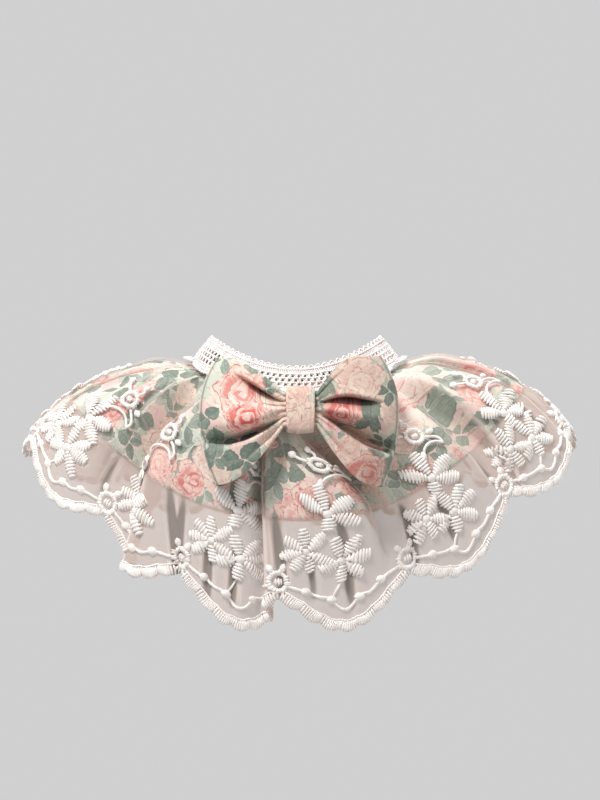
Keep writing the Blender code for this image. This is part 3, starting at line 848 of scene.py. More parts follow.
def threadMaterial(name, base, shade, sheen=0.3):
    made, shader = newMaterial(name, 0.6, sheen, 0.35)
    strands = useGroup(threadStrands, Base=base, Shade=shade)
    plug(shader["Base Color"], strands["Colour"])
    addBump(shader, strands["Height"], 0.5, 0.12)
    return made


whiteThread = threadMaterial("whiteThread", (255, 250, 246), (242, 232, 226))
crochetThread = threadMaterial("crochetThread", (247, 242, 240), (230, 218, 215), 0.2)
print("materials made")


# the net ruffle
netMesh = {"across": 600, "rows": 46}


def makeNet():
    columns = np.linspace(-stripEnd, stripEnd, netMesh["across"])
    across = np.repeat(columns[:, None], netMesh["rows"], axis=1)
    down = np.linspace(0, 1, netMesh["rows"]) * lumpyHem(columns)[:, None]
    flat = np.stack((across, -down), axis=-1)
    piece = addGrid("netRuffle", onSheet(cloth, across, down), flat, netMaterial(), "net_ruffle")
    for name in ("crease", "pinch"):
        pointValue(piece, name, readSheet(cloth, name, across, down))
    return piece


netRuffle = makeNet()
print("net ruffle made")

# embroidery on the net. Places are in mm from a scallop's left notch, and down from the seam
satin = {
    "pitch": 1.14, "length": 5.2, "radius": 0.66, "lift": 0.6, "tilt": 0.5, "tuck": 0.1, "cordIn": 4.8,
    "cordLift": 0.25, "cordRadius": 0.5,
}
cord = {
    "path": (
        (4.5, 101.5), (13.5, 104.5), (20, 107), (26, 109), (29.5, 113), (33, 114.8), (36.5, 113.2),
        (40, 109.5), (46, 108.5), (52, 104.5), (63.5, 101.5),
    ),
    "lumps": ((13.5, 104.3), (26, 109), (40, 109.6), (52, 104.3)), "lumpSize": (2.7, 2.1, 1.3), "radius": 0.8,
}
ringFlower = {
    "inner": 3.3, "outer": 5.9, "rungs": 22, "centre": 2.1, "ears": (66, 122), "earAt": 7.4,
    "earSize": (2.5, 1.9, 1.2), "above": 8.4,
}
flowers = {
    "places": (  # across, down, then each petal's direction in degrees and length
        (29.5, 66.8, ((-83, 15.5), (-146, 14.5), (-20, 14.6), (29, 15.0), (100, 9.0))),
        (15.5, 85.0, (
            (-145, 12.8), (-92, 11.5), (-41, 13.6), (174, 12.5), (134, 12.4), (83, 10.9), (31, 14.0),
        )),
        (32.0, 90.5, ((-104, 13.1), (-44, 14.6), (-4, 15.6), (36, 14.5), (94, 10.2), (158, 12.2))),
    ),
    "start": 3.1, "width": 3.35, "rung": 1.6, "radius": 0.78, "lift": 1.15, "middle": (2.7, 2.5, 1.3),
}
stalks = {
    "ring": {"inner": 2.9, "outer": 5.2, "rungs": 20, "centre": 1.8}, "at": (40, 43),
    "lines": (  # from the ring's middle, in mm on the cloth
        ((-4.4, -2.8), (-7.6, -4.4), (-10.4, -6.6)), ((1.6, -5.2), (2.4, -7.2), (1.4, -9.0)),
        ((4.4, 3.4), (7.0, 5.2), (9.0, 8.4), (8.4, 12.0)),
        ((8.4, 11.6), (6.2, 8.6), (2.6, 7.4), (-1.6, 8.6), (-4.6, 11.4)),
    ),
    "buds": ((-11.2, -7.2, 2.3, 1.9), (1.0, -10.0, 2.0, 1.6), (8.2, 2.2, 2.2, 1.5), (-5.4, 12.0, 2.6, 1.8)),
    "stem": ((31, 101), (28.5, 105), (26.2, 108.6)), "radius": 0.72,
}
lump = {"steps": (-1, -0.55, 0, 0.55, 1), "share": 0.92, "thinnest": 0.08, "lift": 0.4, "sides": 8}
edgeRoom = {"ring": 8, "stalks": 14, "flower": 10, "lump": 2}  # what has less at the strip's ends is left out
threadLift = 0.35
firstScallop = -math.floor((cutWidth / 2 + ruffle["shift"]) / ruffle["pitch"]) - 1
scallopNumbers = np.arange(firstScallop, firstScallop + ruffle["scallops"] + 2)
scallopStarts = scallopNumbers * ruffle["pitch"] + ruffle["shift"]


def fits(u, room="lump"):
    return abs(u) <= stripEnd - edgeRoom[room]


def flatRound(u, d):
    # places in mm on the gathered cloth round (u, d), as places on the flat strip
    reach = 5
    across = np.linalg.norm(onSheet(cloth, u + reach, d) - onSheet(cloth, u - reach, d)) / (2 * reach)
    down = np.linalg.norm(onSheet(cloth, u, d + reach) - onSheet(cloth, u, d - reach)) / (2 * reach)

    def at(x, y):
        return u + x / max(across, 0.3), d + y / max(down, 0.5)

    return at


def sew(piece, across, down, lift, radius, sheet=cloth, tall=0.9, sides=6):
    # threads laid on a sheet, one for each row of places, unless they leave it
    across, down = np.broadcast_arrays(*(np.atleast_2d(value) for value in (across, down)))
    if np.abs(across).max() <= sheet["across"][-1]:
        normals = readSheet(sheet, "normals", across, down)
        addThreads(piece, onSheet(sheet, across, down, lift), normals, radius, 1.0, tall, sides)


def sewStitches(piece, u0, d0, u1, d1, lift, radius, steps=5):
    # straight stitches from (u0, d0) to (u1, d1), highest in the middle
    keep = (np.abs(u0) < stripEnd) & (np.abs(u1) < stripEnd)
    if not keep.any():
        return
    rows = (np.broadcast_to(value, keep.shape)[keep, None] for value in (u0, d0, u1, d1, lift))
    u0, d0, u1, d1, lift = rows
    t = np.linspace(0, 1, steps)
    lift = lift * (0.35 + 0.65 * np.sin(math.pi * t))
    sew(piece, u0 + (u1 - u0) * t, d0 + (d1 - d0) * t, lift, radius, tall=0.8)


def addLump(piece, u, d, turn, size):
    # a small rounded lump of thread: size is half its length, half its width and its height
    if not fits(u):
        return
    at, step = flatRound(u, d), 0.5
    ahead = onSheet(cloth, *(np.array([value]) for value in at(step * math.cos(turn), step * math.sin(turn))))
    u, d = np.array([u]), np.array([d])
    normals = readSheet(cloth, "normals", u, d)
    side = unit(np.cross(ahead - onSheet(cloth, u, d), normals))
    steps = np.array(lump["steps"])
    run = np.cross(normals, side)[:, None] * (steps[:, None] * size[0] * lump["share"])
    path = onSheet(cloth, u, d, lump["lift"])[:, None] + run
    radius = np.sqrt(np.maximum(1 - steps**2, lump["thinnest"]))
    normals = np.broadcast_to(normals[:, None], path.shape)
    addThreads(piece, path, normals, radius, size[1], size[2], lump["sides"], 1.0)


def makeHemStitches():
    piece = newThreads()
    fine = np.linspace(-stripEnd, stripEnd, 9000)
    slopes = np.gradient(hem(fine), fine)

    def inwards(u):
        # one mm into the cloth, square to the hem
        slope = np.interp(u, fine, slopes)
        return slope / np.sqrt(1 + slope**2), -1 / np.sqrt(1 + slope**2)

    run = np.append(0, np.cumsum(np.hypot(np.diff(fine), np.diff(hem(fine)))))
    u = np.interp(np.arange(0.5, run[-1], satin["pitch"]), run, fine)
    outer = np.interp(u, fine, lumpyHem(fine))
    full = scallopWave(u, ruffle["lumps"]) ** 0.6
    length = satin["length"] * chance.uniform(0.93, 1.05, len(u)) * (0.74 + 0.3 * full)
    inU, inD = inwards(u)
    uIn, dIn = u + inU * length + satin["tilt"], outer + inD * length
    lift = satin["lift"] * (0.6 + 0.6 * full)
    sewStitches(piece, u, outer - satin["tuck"], uIn, dIn, lift, satin["radius"])
    # a thin cord along the inside of the stitches
    for start in scallopStarts:
        part = start + np.linspace(0.5, ruffle["pitch"] - 0.5, 46)
        part = part[np.abs(part) < stripEnd]
        if len(part) < 8:
            continue
        inU, inD = inwards(part)
        level = 0.6 * hem(part) + 0.4 * lumpyHem(part) + satin["cordIn"] * inD
        sew(piece, part + satin["cordIn"] * inU, level, satin["cordLift"], satin["cordRadius"])
    return finishThreads("hemStitches", piece, whiteThread)


def makeInnerCord():
    piece = newThreads()
    us, ds = np.array(cord["path"], float).T
    fine = np.linspace(us[0], us[-1], 60)
    for start in scallopStarts:
        part = fine[np.abs(start + fine) < stripEnd]
        if len(part) > 10:
            sew(piece, start + part, smoothThrough(part, us, ds), threadLift, cord["radius"])
        for u, d in cord["lumps"]:
            addLump(piece, start + u, d, 0.1, cord["lumpSize"])
    return finishThreads("innerCord", piece, whiteThread)


def addRing(piece, at, ring):
    inner, outer, rungs, centre = (ring[key] for key in ("inner", "outer", "rungs", "centre"))

    def circle(radius, turn):
        return at(radius * np.cos(turn), radius * np.sin(turn))

    turn = 2 * math.pi * (np.arange(rungs) + 0.3 * chance.uniform(-1, 1, rungs)) / rungs
    sewStitches(piece, *circle(inner, turn), *circle(outer + 0.45 * np.sin(8 * turn), turn), 0.9, 0.68, 4)
    sew(piece, *circle(0.5 * (inner + outer), 2 * math.pi * np.linspace(0, 1, 25)), threadLift, 1.0)
    for x in (-0.62, 0, 0.62):
        addLump(piece, *at(x * centre, 0), math.pi / 2, (centre * (1 - 0.3 * abs(x)), 0.34 * centre, 1.1))


def makeRings():
    piece = newThreads()
    foot = np.linspace(0, 1, 6)
    for start in scallopStarts:
        d = ruffle["length"] - ringFlower["above"]
        if fits(start, "ring"):
            at = flatRound(start, d)
            addRing(piece, at, ringFlower)
            for ear in np.radians(ringFlower["ears"]):
                x, y = ringFlower["earAt"] * math.cos(ear), -ringFlower["earAt"] * math.sin(ear)
                addLump(piece, *at(x, y), -ear, ringFlower["earSize"])
            for side in (-1, 1):
                sew(piece, start + side * (1.6 + 1.4 * foot), d + 4.6 + 3.6 * foot, threadLift, 0.75)
        u, level = start + stalks["at"][0], stalks["at"][1]
        if not fits(u, "stalks"):
            continue
        at = flatRound(u, level)
        addRing(piece, at, stalks["ring"])
        for points in stalks["lines"]:
            us, ds = np.array(points, float).T
            steps, fine = np.linspace(0, 1, len(us)), np.linspace(0, 1, 6 * len(us))
            line = at(smoothThrough(fine, steps, us), smoothThrough(fine, steps, ds))
            sew(piece, *line, threadLift, stalks["radius"])
        for x, y, *size in stalks["buds"]:
            addLump(piece, *at(x, y), math.atan2(y, x), (*size, 1.1))
        us, ds = np.array(stalks["stem"], float).T
        sew(piece, start + us, ds, threadLift, stalks["radius"])
    return finishThreads("ringFlowers", piece, whiteThread)


def makePetalFlowers():
    piece = newThreads()
    places = [(start + x, y, petals) for start in scallopStarts for x, y, petals in flowers["places"]]
    for u, d, petals in places:
        if not fits(u, "flower"):
            continue
        at = flatRound(u, d)
        addLump(piece, u, d, 0, flowers["middle"])
        widest = flowers["width"] * (5.5 / len(petals)) ** 0.7
        for turn, length in petals:
            angle = math.radians(turn + chance.uniform(-5, 5))
            reach = length * chance.uniform(0.94, 1.04)
            x, y = math.cos(angle), math.sin(angle)
            out = np.arange(flowers["start"], reach, flowers["rung"])
            share = out / reach
            tip = np.sqrt(np.clip(1 - ((share - 0.6) / 0.47) ** 2, 0, 1))
            half = widest * np.where(share < 0.6, 0.12 + 0.88 * np.sin(math.pi / 1.2 * share) ** 1.5, tip)
            half = half * chance.uniform(0.94, 1.06, len(out))
            slant = 0.2 * half * chance.choice((-1, 1))  # every bar runs a little askew over its petal
            near, far = out - slant, out + slant
            first = at(x * near + y * half, y * near - x * half)
            last = at(x * far - y * half, y * far + x * half)
            sewStitches(piece, *first, *last, flowers["lift"], flowers["radius"])
            rib = np.linspace(0.5, 0.6 * reach, 5)
            sew(piece, *at(x * rib, y * rib), 0.3, 0.8, sides=5)
            addLump(piece, *at(0.58 * reach * x, 0.58 * reach * y), angle, (0.4 * reach, 2.2, 0.45))
    return finishThreads("petalFlowers", piece, whiteThread)


onNet = [makeHemStitches(), makeInnerCord(), makeRings(), makePetalFlowers()]

# the printed cotton ruffle under the net
cotton = {
    "across": 520, "rows": 26, "below": 1.7, "thickness": 0.45, "hemAt": 4.2, "hemDent": 0.25,
    "hemWidth": 0.7,
}
cottonBlooms = (  # across, down, size, deep, seed
    (-58, 44, 13, 0.1, 3), (-69, 60, 10.5, 0.9, 8), (27, 61, 11.5, 0.7, 12), (-164, 56, 11.5, 0.85, 17),
    (-124, 50, 11, 0.05, 21), (203, 42, 12, 0.85, 26), (124, 65, 5, 0.6, 31), (72, 42, 11, 0.05, 36),
    (-205, 30, 9, 0.6, 41), (104, 40, 10, 0.1, 48), (-330, 45, 12, 0.8, 51), (-262, 56, 10, 0.2, 55),
    (300, 50, 12, 0.7, 62), (368, 34, 10, 0.3, 67), (-400, 40, 10, 0.4, 71), (158, 20, 10, 0.0, 76),
)
cottonSprays = (  # across, down, length, turn, dark
    (118, 53, 13, 0.4, 0.5), (-152, 26, 12, 1.1, 0.4), (-120, 66, 9, 2.0, 0.9), (-140, 60, 9, 0.3, 0.7),
    (-48, 28, 11, 1.4, 0.5), (8, 50, 12, 0.9, 0.1), (22, 34, 11, 2.2, 0.4), (-36, 62, 9, 0.2, 0.7),
    (172, 32, 10, 0.6, 0.2), (86, 60, 9, 1.8, 0.1), (146, 34, 14, 2.3, 0.0), (230, 60, 10, 0.5, 0.5),
    (-236, 34, 10, 1.0, 0.4),
)


def fanOut():
    # the gathered strip opens like a fan: the print is laid on the fan, so that its flowers stay round
    run = np.linalg.norm(np.diff(cloth["points"], axis=0), axis=-1).sum(axis=0) / (2 * stripEnd)
    used = cloth["down"] < ruffle["cottonLength"]
    slope, start = np.polyfit(cloth["down"][used], run[used], 1)
    return start / slope, slope


fanStart, fanTurn = fanOut()


def onPrint(across, down):
    away, turn = down + fanStart, across * fanTurn
    return np.stack((away * np.sin(turn), -away * np.cos(turn)), axis=-1)


def makeCottonRuffle():
    columns = np.linspace(-stripEnd, stripEnd, cotton["across"])
    levels = np.linspace(0, ruffle["cottonLength"], cotton["rows"])
    across, down = np.meshgrid(columns, levels, indexing="ij")
    hemLine = ruffle["cottonLength"] - cotton["hemAt"]
    sewn = bell(down - hemLine, cotton["hemWidth"])  # dented by the hem's line of stitches
    points = onSheet(cloth, across, down, -cotton["below"] - cotton["hemDent"] * sewn)

    def placed(rows):
        return [(*onPrint(x, y), *rest) for x, y, *rest in rows]

    material = printedCotton("ruffleCotton", placed(cottonBlooms), placed(cottonSprays))
    flat = onPrint(across, down)
    return addGrid("cottonRuffle", points, flat, material, "cotton_ruffle", cotton["thickness"])


cottonRuffle = makeCottonRuffle()
print("cotton ruffle made")

# the neckband and its edging
bandShape = {
    "radius": 44.5, "rise": 16, "wall": 1.4, "reach": 0.93, "tab": 18, "tabBend": 8, "tabStep": 2.6,
    "height": 14, "lapLift": 2.6, "cloth": 1.0, "flatRadius": 47, "pucker": 0.12, "puckers": 1.9,
}


def band(angle, down):
    turn = np.radians(angle)
    radius, rise = bandShape["radius"], bandShape["rise"]
    top = np.stack((radius * np.sin(turn), -radius * np.cos(turn), rise * np.sin(turn) ** 2), axis=-1)
    seam = guide(angle, np.zeros_like(angle))
    return top + (seam - top) * down[..., None]


def bandAt(angle, down, height):
    return band(angle, down) + height[..., None] * outward(band, angle, down, 0.02)


def makeNeckband():
    angles = np.linspace(-ruffle["nape"] - bandShape["tab"], ruffle["nape"], 260)
    angle, down = np.meshgrid(angles, np.linspace(0, bandShape["reach"], 9), indexing="ij")
    under = ease((-ruffle["nape"] - angle) / bandShape["tabBend"] + 1)
    wave = np.sin(angle * bandShape["puckers"]) * np.sin(math.pi * down / bandShape["reach"])
    height = -bandShape["wall"] / 2 - bandShape["tabStep"] * under + bandShape["pucker"] * wave
    points = bandAt(np.where(angle < -180, angle + 360, angle), down, height)
    flat = np.stack((np.radians(angle) * bandShape["flatRadius"], -down * bandShape["height"]), axis=-1)
    material = printedCotton("bandCotton", shift=(140, 260, 0), tintAndPaintedShade=(255, 244, 240))
    return addGrid("neckbandCloth", points, flat, material, "neckband", bandShape["cloth"])


neckbandCloth = makeNeckband()

# the crochet lace: rows down it in mm, and its flowers along its lower edge
lace = {
    "length": 292.0, "top": -1.4, "bottom": 18.4, "picot": 3.9, "lift": 0.9,
    "rows": (0.3, 3.2, 5.7, 8.2, 10.7), "holePitch": 3.1, "holeSize": (0.75, 0.7), "flowerPitch": 22.0,
    "flowerAt": 14.0, "levels": (-3.2, 0, 6.5, 12.4, 15.2, 18, 21.5), "onBand": 13, "lowest": 21,
    "scallopDepth": 3.4, "close": 1.15, "eyelet": 1.5, "petalAt": (3.2, 2.6), "petal": (1.0, 0.9),
    "bars": 1.5, "picotSize": (1.35, 2.1), "twist": 0.12,
}
laceRadii = {
    "cord": 0.625, "row": 0.55, "picot": 0.5, "close": 0.46, "post": 0.72, "eyelet": 0.5, "petal": 0.42,
    "edge": 0.55, "bar": 0.4,
}


def makeLaceSheet():
    # the lace's own flat grid, laid over the band and the seam
    u = np.linspace(0, lace["length"], 900)
    v = np.linspace(lace["levels"][0], lace["lowest"], 70)
    angle = (u / lace["length"] * 2 - 1) * ruffle["nape"]
    keys = []
    for level in lace["levels"]:
        if level < lace["onBand"]:
            down = np.full_like(angle, level / bandShape["height"])
            keys.append(bandAt(angle, down, np.full_like(angle, lace["lift"])))
        else:
            below = np.full_like(angle, level - bandShape["height"])
            keys.append(guide(angle, below) + bandShape["lapLift"] * outward(guide, angle, below))
    keys = np.array(keys)
    lines = [smoothThrough(v, lace["levels"], keys[:, i, axis]) for i in range(len(u)) for axis in range(3)]
    points = np.array(lines).reshape(len(u), 3, len(v)).transpose(0, 2, 1)
    return {"across": u, "down": v, "points": points, "normals": surfaceNormals(points)}


laceSheet = makeLaceSheet()


def laceEdge(u):
    # the lower edge, scalloped under each flower
    wave = np.abs(np.sin(math.pi * u / lace["flowerPitch"])) ** 0.8
    return lace["bottom"] - lace["scallopDepth"] * (1 - wave)


def makeLaceCells():
    # where the crochet ground is thread and where it is open
    given = newGroup("laceCells", Place=origin)
    axes = splitVector(given["Place"])
    rows, (wide, tall) = lace["rows"], lace["holeSize"]
    holes = [
        (lace["holePitch"], (rows[row] + rows[row + 1]) / 2, wide, tall, shift)
        for row, shift in ((1, 0.0), (2, 0.5), (3, 0.0))
    ]
    for step, size in ((0.0, 1.35), (0.23, 0.6), (-0.23, 0.6), (0.12, 0.5), (-0.12, 0.5)):
        level = lace["flowerAt"] + (0 if step == 0 else 1.2)
        holes.append((lace["flowerPitch"], level, size, size * 1.1, step))
    gaps = None
    for pitch, level, wide, tall, shift in holes:
        x = (calc("FRACT", axes["X"] / pitch + shift) - 0.5) * pitch / wide
        y = (axes["Y"] - level) / tall
        hole = smoothStep(calc("SQRT", abs(x) ** 2.6 + abs(y) ** 2.6), 1.12, 0.88)
        gaps = calc("MAXIMUM", gaps, hole) if gaps else hole
    return finishGroup(Thread=1.0 - gaps, Height=noise(given["Place"], 1.6))


laceCells = makeLaceCells()


def laceGroundMaterial():
    made, shader = newMaterial("crochetGround", 0.8, 0.2, 0.25)
    pattern = useGroup(laceCells, Place=flatPlace())
    shade = mixColour(smoothStep(pattern["Height"], 0.35, 0.65), (228, 216, 212), (250, 245, 242))
    plug(shader["Base Color"], shade)
    plug(shader["Alpha"], pattern["Thread"])
    addBump(shader, pattern["Height"], 0.8, 0.4)
    return made


def makeLaceGround():
    u, share = np.meshgrid(np.linspace(0, lace["length"], 420), np.linspace(0, 1, 20), indexing="ij")
    v = lace["top"] + (laceEdge(u) - lace["top"]) * share
    points, flat = onSheet(laceSheet, u, v, -0.15), np.stack((u, v), axis=-1)
    return addGrid("crochetEdging", points, flat, laceGroundMaterial(), "crochet_edging")


crochetEdging = makeLaceGround()


def makeLaceThreads():
    piece = newThreads()
    rows, full = lace["rows"], np.linspace(0.3, lace["length"] - 0.3, 420)

    def work(thread, u, v, lift=0.0):
        sew(piece, u, v, lift, laceRadii[thread], laceSheet, sides=5)

    def places(start, end, pitch):
        return np.arange(start, lace["length"] - end, pitch)[:, None]

    for number, level in enumerate(rows):
        twist = lace["twist"] * np.sin(full * 2 * math.pi / 1.5 + number)
        work("cord" if number < 2 else "row", full, level + twist, 0.1)
    # picots: small loops along the top
    t, (wide, tall) = np.linspace(0, math.pi, 7), lace["picotSize"]
    work("picot", places(lace["picot"] / 2, 1, lace["picot"]) + wide * np.cos(t), 0.1 - tall * np.sin(t))
    # a close band under the cord, then posts that leave three rows of small holes
    lean = np.linspace(-0.35, 0.35, 4)
    work("close", places(0.6, 0.6, lace["close"]) + lean, np.linspace(rows[0], rows[1], 4))
    for row in (1, 2, 3):
        start = 0.6 + (0.5 if row == 2 else 0) * lace["holePitch"]
        work("post", places(start, 1, lace["holePitch"]), np.linspace(rows[row], rows[row + 1], 4), 0.05)
    # eyelet flowers: a round hole, eight small loops round it and the scalloped edge under it
    centres = places(lace["flowerPitch"] / 2, 0, lace["flowerPitch"])
    whole = np.linspace(0, 2 * math.pi, 15)
    (wide, tall), petal, loop, level = lace["petalAt"], lace["petal"], whole[::2], lace["flowerAt"]
    work("eyelet", centres + lace["eyelet"] * np.cos(whole), level + lace["eyelet"] * np.sin(whole), 0.2)
    for turn in np.radians(np.arange(0, 360, 45)):
        u, v = centres + wide * math.cos(turn), level + tall * math.sin(turn)
        work("petal", u + petal[0] * np.cos(loop), v + petal[1] * np.sin(loop), 0.15)
    work("edge", full, laceEdge(full) - 0.3, 0.1)
    marks = places(0.8, 0.8, lace["bars"])
    work("bar", marks + np.array((-0.3, 0, 0.3)), laceEdge(marks) - 0.2 + np.array((0.1, 0.9, 0.1)), 0.1)
    return finishThreads("crochetThreads", piece, crochetThread)


crochetThreads = makeLaceThreads()
print("band and edging made")

# the bow. Sizes are from the knot's middle
bow = {
    "x": 2.2, "up": -19.7, "wall": 1.4, "depth": 14, "back": 0.45, "clear": 1.2, "wrap": 7, "wrapAt": 45,
    "inner": 0.4, "fold": 1.7, "shorter": 8.5, "open": 12, "window": 4, "columns": 110, "rows": 170,
    "lean": ((-42, 86.6), (-25, 84.6), (-12, 79.6), (0, 73.6), (26, 67.0)), "cloth": 0.9, "flatBack": 120,
    "roundness": 0.6, "flatter": 0.45, "sink": 0.45, "pucker": 0.5, "puckerReach": 9, "backPucker": 0.4,
    "stitchAt": 3.2, "stitchDent": 0.35, "stitchWidth": 0.8, "seamAt": 1.1, "seamWidth": 0.42,
}
knot = {
    "width": 13.6, "height": 23.2, "depth": 13.6, "wall": 1.5, "puff": 0.06, "corners": 0.95, "waistLess": 1,
    "waistEnds": 1.6, "rings": 48, "sides": 84, "rolled": 0.5, "stitchAt": 0.78, "stitchDent": 0.35,
    "stitchWidth": 0.05, "wavy": 0.03, "flatTurn": 8,
}
halves = {  # side, reach, top corner's height and where it is reached, the same for the bottom
    "bow_left": (-1, 50.0, 25.8, 40, 37, 41),
    "bow_right": (1, 48.7, 26.5, 28, 38, 38),
}
creases = {  # where at the knot and at the end (-1 to 1), depth, width below and above it, how far out
    "bow_left": (
        (0.36, 0.88, 1.4, 0.22, 0.04, 0.7), (-0.5, -0.45, 1.45, 0.03, 0.15, 1.6),
        (0.12, 0.16, 0.22, 0.06, 0.10, 0.5), (-0.76, -0.8, 0.3, 0.05, 0.12, 0.6),
    ),
    "bow_right": (
        (0.40, 0.06, 1.4, 0.16, 0.035, 0.9), (-0.22, -0.6, 1.5, 0.03, 0.19, 1.8),
        (0.74, 0.8, 0.25, 0.10, 0.06, 0.5), (-0.72, -0.86, 0.3, 0.05, 0.12, 0.6),
    ),
}
puffs = {  # the tube between them: where, width, how much fuller
    "bow_left": (-0.14, 0.3, 0.55), "bow_right": (-0.02, 0.27, 0.5),
}
netAcross, netDown = np.meshgrid(np.arange(-190, 190, 2.2), np.arange(0, 100, 3))
netFront = onSheet(cloth, netAcross.ravel(), netDown.ravel(), 0.5)


def forwardOfNet(x, z):
    out = np.empty_like(x)
    for start in range(0, len(x), 500):
        part = slice(start, start + 500)
        near = np.abs(x[part, None] - netFront[:, 0]) < bow["window"]
        near &= np.abs(z[part, None] - netFront[:, 2]) < bow["window"]
        out[part] = np.where(near, -netFront[:, 1], 0).max(axis=1)
    return out


def bowMiddle(up):
    return smoothThrough(up, *np.array(bow["lean"], float).T)


def bowPoint(name, loop, across):
    side, reach, top, topFrom, bottom, bottomFrom = halves[name]
    gathered = knot["width"] / 2 + knot["waistEnds"]
    waist = (knot["height"] - bow["wall"]) / 2 - knot["wall"] - knot["waistLess"]
    far = reach - bow["shorter"] * across**2
    out = bow["inner"] + (far - bow["inner"]) * (1 - np.cos(2 * math.pi * loop)) / 2

    def height(corner, cornerFrom):
        spread = np.clip((out - gathered) / (cornerFrom - gathered), 0, 1)
        return waist + (corner - waist) * np.sin(math.pi / 2 * spread)

    up = across * np.where(across > 0, height(top, topFrom), height(bottom, bottomFrom))
    full = np.sin(2 * math.pi * loop) * np.abs(np.sin(math.pi * loop)) ** bow["roundness"]
    full = full * (1 - bow["flatter"] * across**2)
    full = bow["depth"] * full * ease((out - knot["width"] / 2) / bow["open"])
    share = out / reach
    pinched = np.zeros_like(loop)
    for atKnot, atEnd, pinch, below, above, length in creases[name]:
        away = across - (atKnot + (atEnd - atKnot) * share)
        trough = bell(away, np.where(away < 0, below, above))
        pinched = np.maximum(pinched, pinch * trough * (1 - ease(2 * share / length - 1)))
    isBack = loop > 0.5
    puffAt, puffWidth, fuller = puffs[name]
    tube = fuller * bell(across - puffAt, puffWidth) * bell(share - 0.4, 0.45)
    sunk = np.where(isBack, 0, full * pinched)
    full = full * np.where(isBack, bow["back"], (1 + tube) * (1 - pinched * ease(5 - 10 * loop)))
    # small puckers at the knot, and a stitched line beside the outer edge
    pucker = bow["pucker"] * np.sin(across * 21 + share * 9) * bell(out - gathered, bow["puckerReach"])
    pucker = pucker * np.where(isBack, bow["backPucker"], 1)
    stitched = bow["stitchDent"] * bell(out - (far - bow["stitchAt"]), bow["stitchWidth"])
    stitched = np.where(isBack, 0, stitched)
    x, z = bow["x"] + side * out, bow["up"] + up
    forward = bowMiddle(up) - bow["wrap"] * (out / bow["wrapAt"]) ** 2
    forward = forward + bow["fold"] * np.cos(math.pi * loop) + full
    clear = bow["clear"] + np.where(isBack, 0, bow["wall"] + bow["fold"] / 2)
    clear = clear * ease((out - gathered) / bow["open"])
    forward = np.maximum(forward + pucker - stitched, forwardOfNet(x, z) + clear)
    # where the painted shade of the gap at the outer edge is laid, just inside the edge
    seam = np.where(isBack, 0, bell(out - (far - bow["seamAt"]), bow["seamWidth"]))
    return np.stack((x, -forward, z), axis=-1), out, up - bow["sink"] * sunk, seam


def makeBowHalf(pieceName, node, shift, tintAndPaintedShade, blooms, sprays):
    loops = (np.arange(bow["columns"]) + 0.5) / bow["columns"]
    loop, across = np.meshgrid(loops, np.linspace(1, -1, bow["rows"]), indexing="ij")
    points, out, down, seam = bowPoint(node, loop.ravel(), across.ravel())
    side = halves[node][0]
    flat = np.stack((side * np.where(loop.ravel() > 0.5, bow["flatBack"] - out, out), down), axis=-1)
    material = printedCotton(pieceName + "Cotton", blooms, sprays, shift, tintAndPaintedShade, seam=0.85)
    piece = addGrid(pieceName, points.reshape(*loop.shape, 3), flat, material, node, bow["cloth"], side > 0)
    pointValue(piece, "seam", seam)
    return piece


bowPrint = (  # piece, node, shift, tint darkened as painted shade, blooms, sprays
    (
        # this half's tint is a little below white: painted shade
        "bowRightHalf", "bow_left", (31, 12, 0), (243, 238, 234),
        ((-27, -3.5, 11, 1.0, 5), (-30, 9, 12.5, 0.7, 11), (-11, 1, 8, 0.1, 2), (-13, -14, 6, 0.15, 9)),
        ((-27, -25, 10, 0.9, 0.8), (-46, -4, 7, 1.2, 0.9), (-17, 10, 6, 0.2, 0.7), (-42, -24, 8, 0.4, 0.5)),
    ),
    (
        # this half's tint is much darker: painted shade, as this half lies in more shade than the other
        "bowLeftHalf", "bow_right", (77, 45, 0), (220, 211, 206),
        ((20, -2, 8.5, 1.0, 4), (29, 15, 13, 0.1, 9), (31, -30, 10.5, 0.7, 15), (24, -19, 8, 0.2, 22)),
        ((44, 9, 9, 1.3, 0.9), (34, -5, 9, 0.4, 0.8), (13, 13, 8, 0.5, 0.3), (41, -19, 6, 2.0, 0.8)),
    ),
)
bowPieces = [makeBowHalf(*row) for row in bowPrint]


def makeKnot():
    rings, sides = knot["rings"], knot["sides"]
    turns = math.pi * (2 * np.arange(sides + 1) / sides - 1)
    lengthwise, turn = np.meshgrid(np.linspace(-1, 1, rings), turns, indexing="ij")
    puff = 1 + knot["puff"] * np.cos(math.pi * lengthwise / 2)
    crease = 0.05 * bell(lengthwise + 0.32 + 0.1 * np.sin(turn), 0.13) + 0.04 * bell(lengthwise - 0.4, 0.1)
    square = np.sign(np.cos(turn)) * np.abs(np.cos(turn)) ** knot["corners"]
    up = (knot["height"] - knot["wall"]) / 2 * np.sin(turn) * puff
    front = (knot["depth"] - knot["wall"]) / 2 * square * puff
    front = front * np.where(np.cos(turn) > 0, 1 - crease, 1)
    stitched = knot["stitchDent"] * bell(np.abs(lengthwise) - knot["stitchAt"], knot["stitchWidth"])
    back = (knot["rolled"] * np.abs(lengthwise) ** 8 + stitched) * square - bowMiddle(up) - front
    x = knot["width"] / 2 * lengthwise * (1 + knot["wavy"] * np.sin(2 * turn + 0.6))
    points = np.stack((bow["x"] + x, back, bow["up"] + up), axis=-1)
    blooms = ((3, -8, 12, 0.05, 3), (-4, 8, 10, 0.2, 7))
    # painted shade: the knot's cloth is tinted darker all over to stand in for the shade on its lower half
    material = printedCotton("knotCotton", blooms, (), (205, 90, 0), (222, 212, 207))
    flat = np.stack((x, turn * knot["flatTurn"]), axis=-1)
    return addGrid("bowKnot", points, flat, material, "bow_knot", bow["cloth"], True)


bowKnot = makeKnot()
print("bow made")

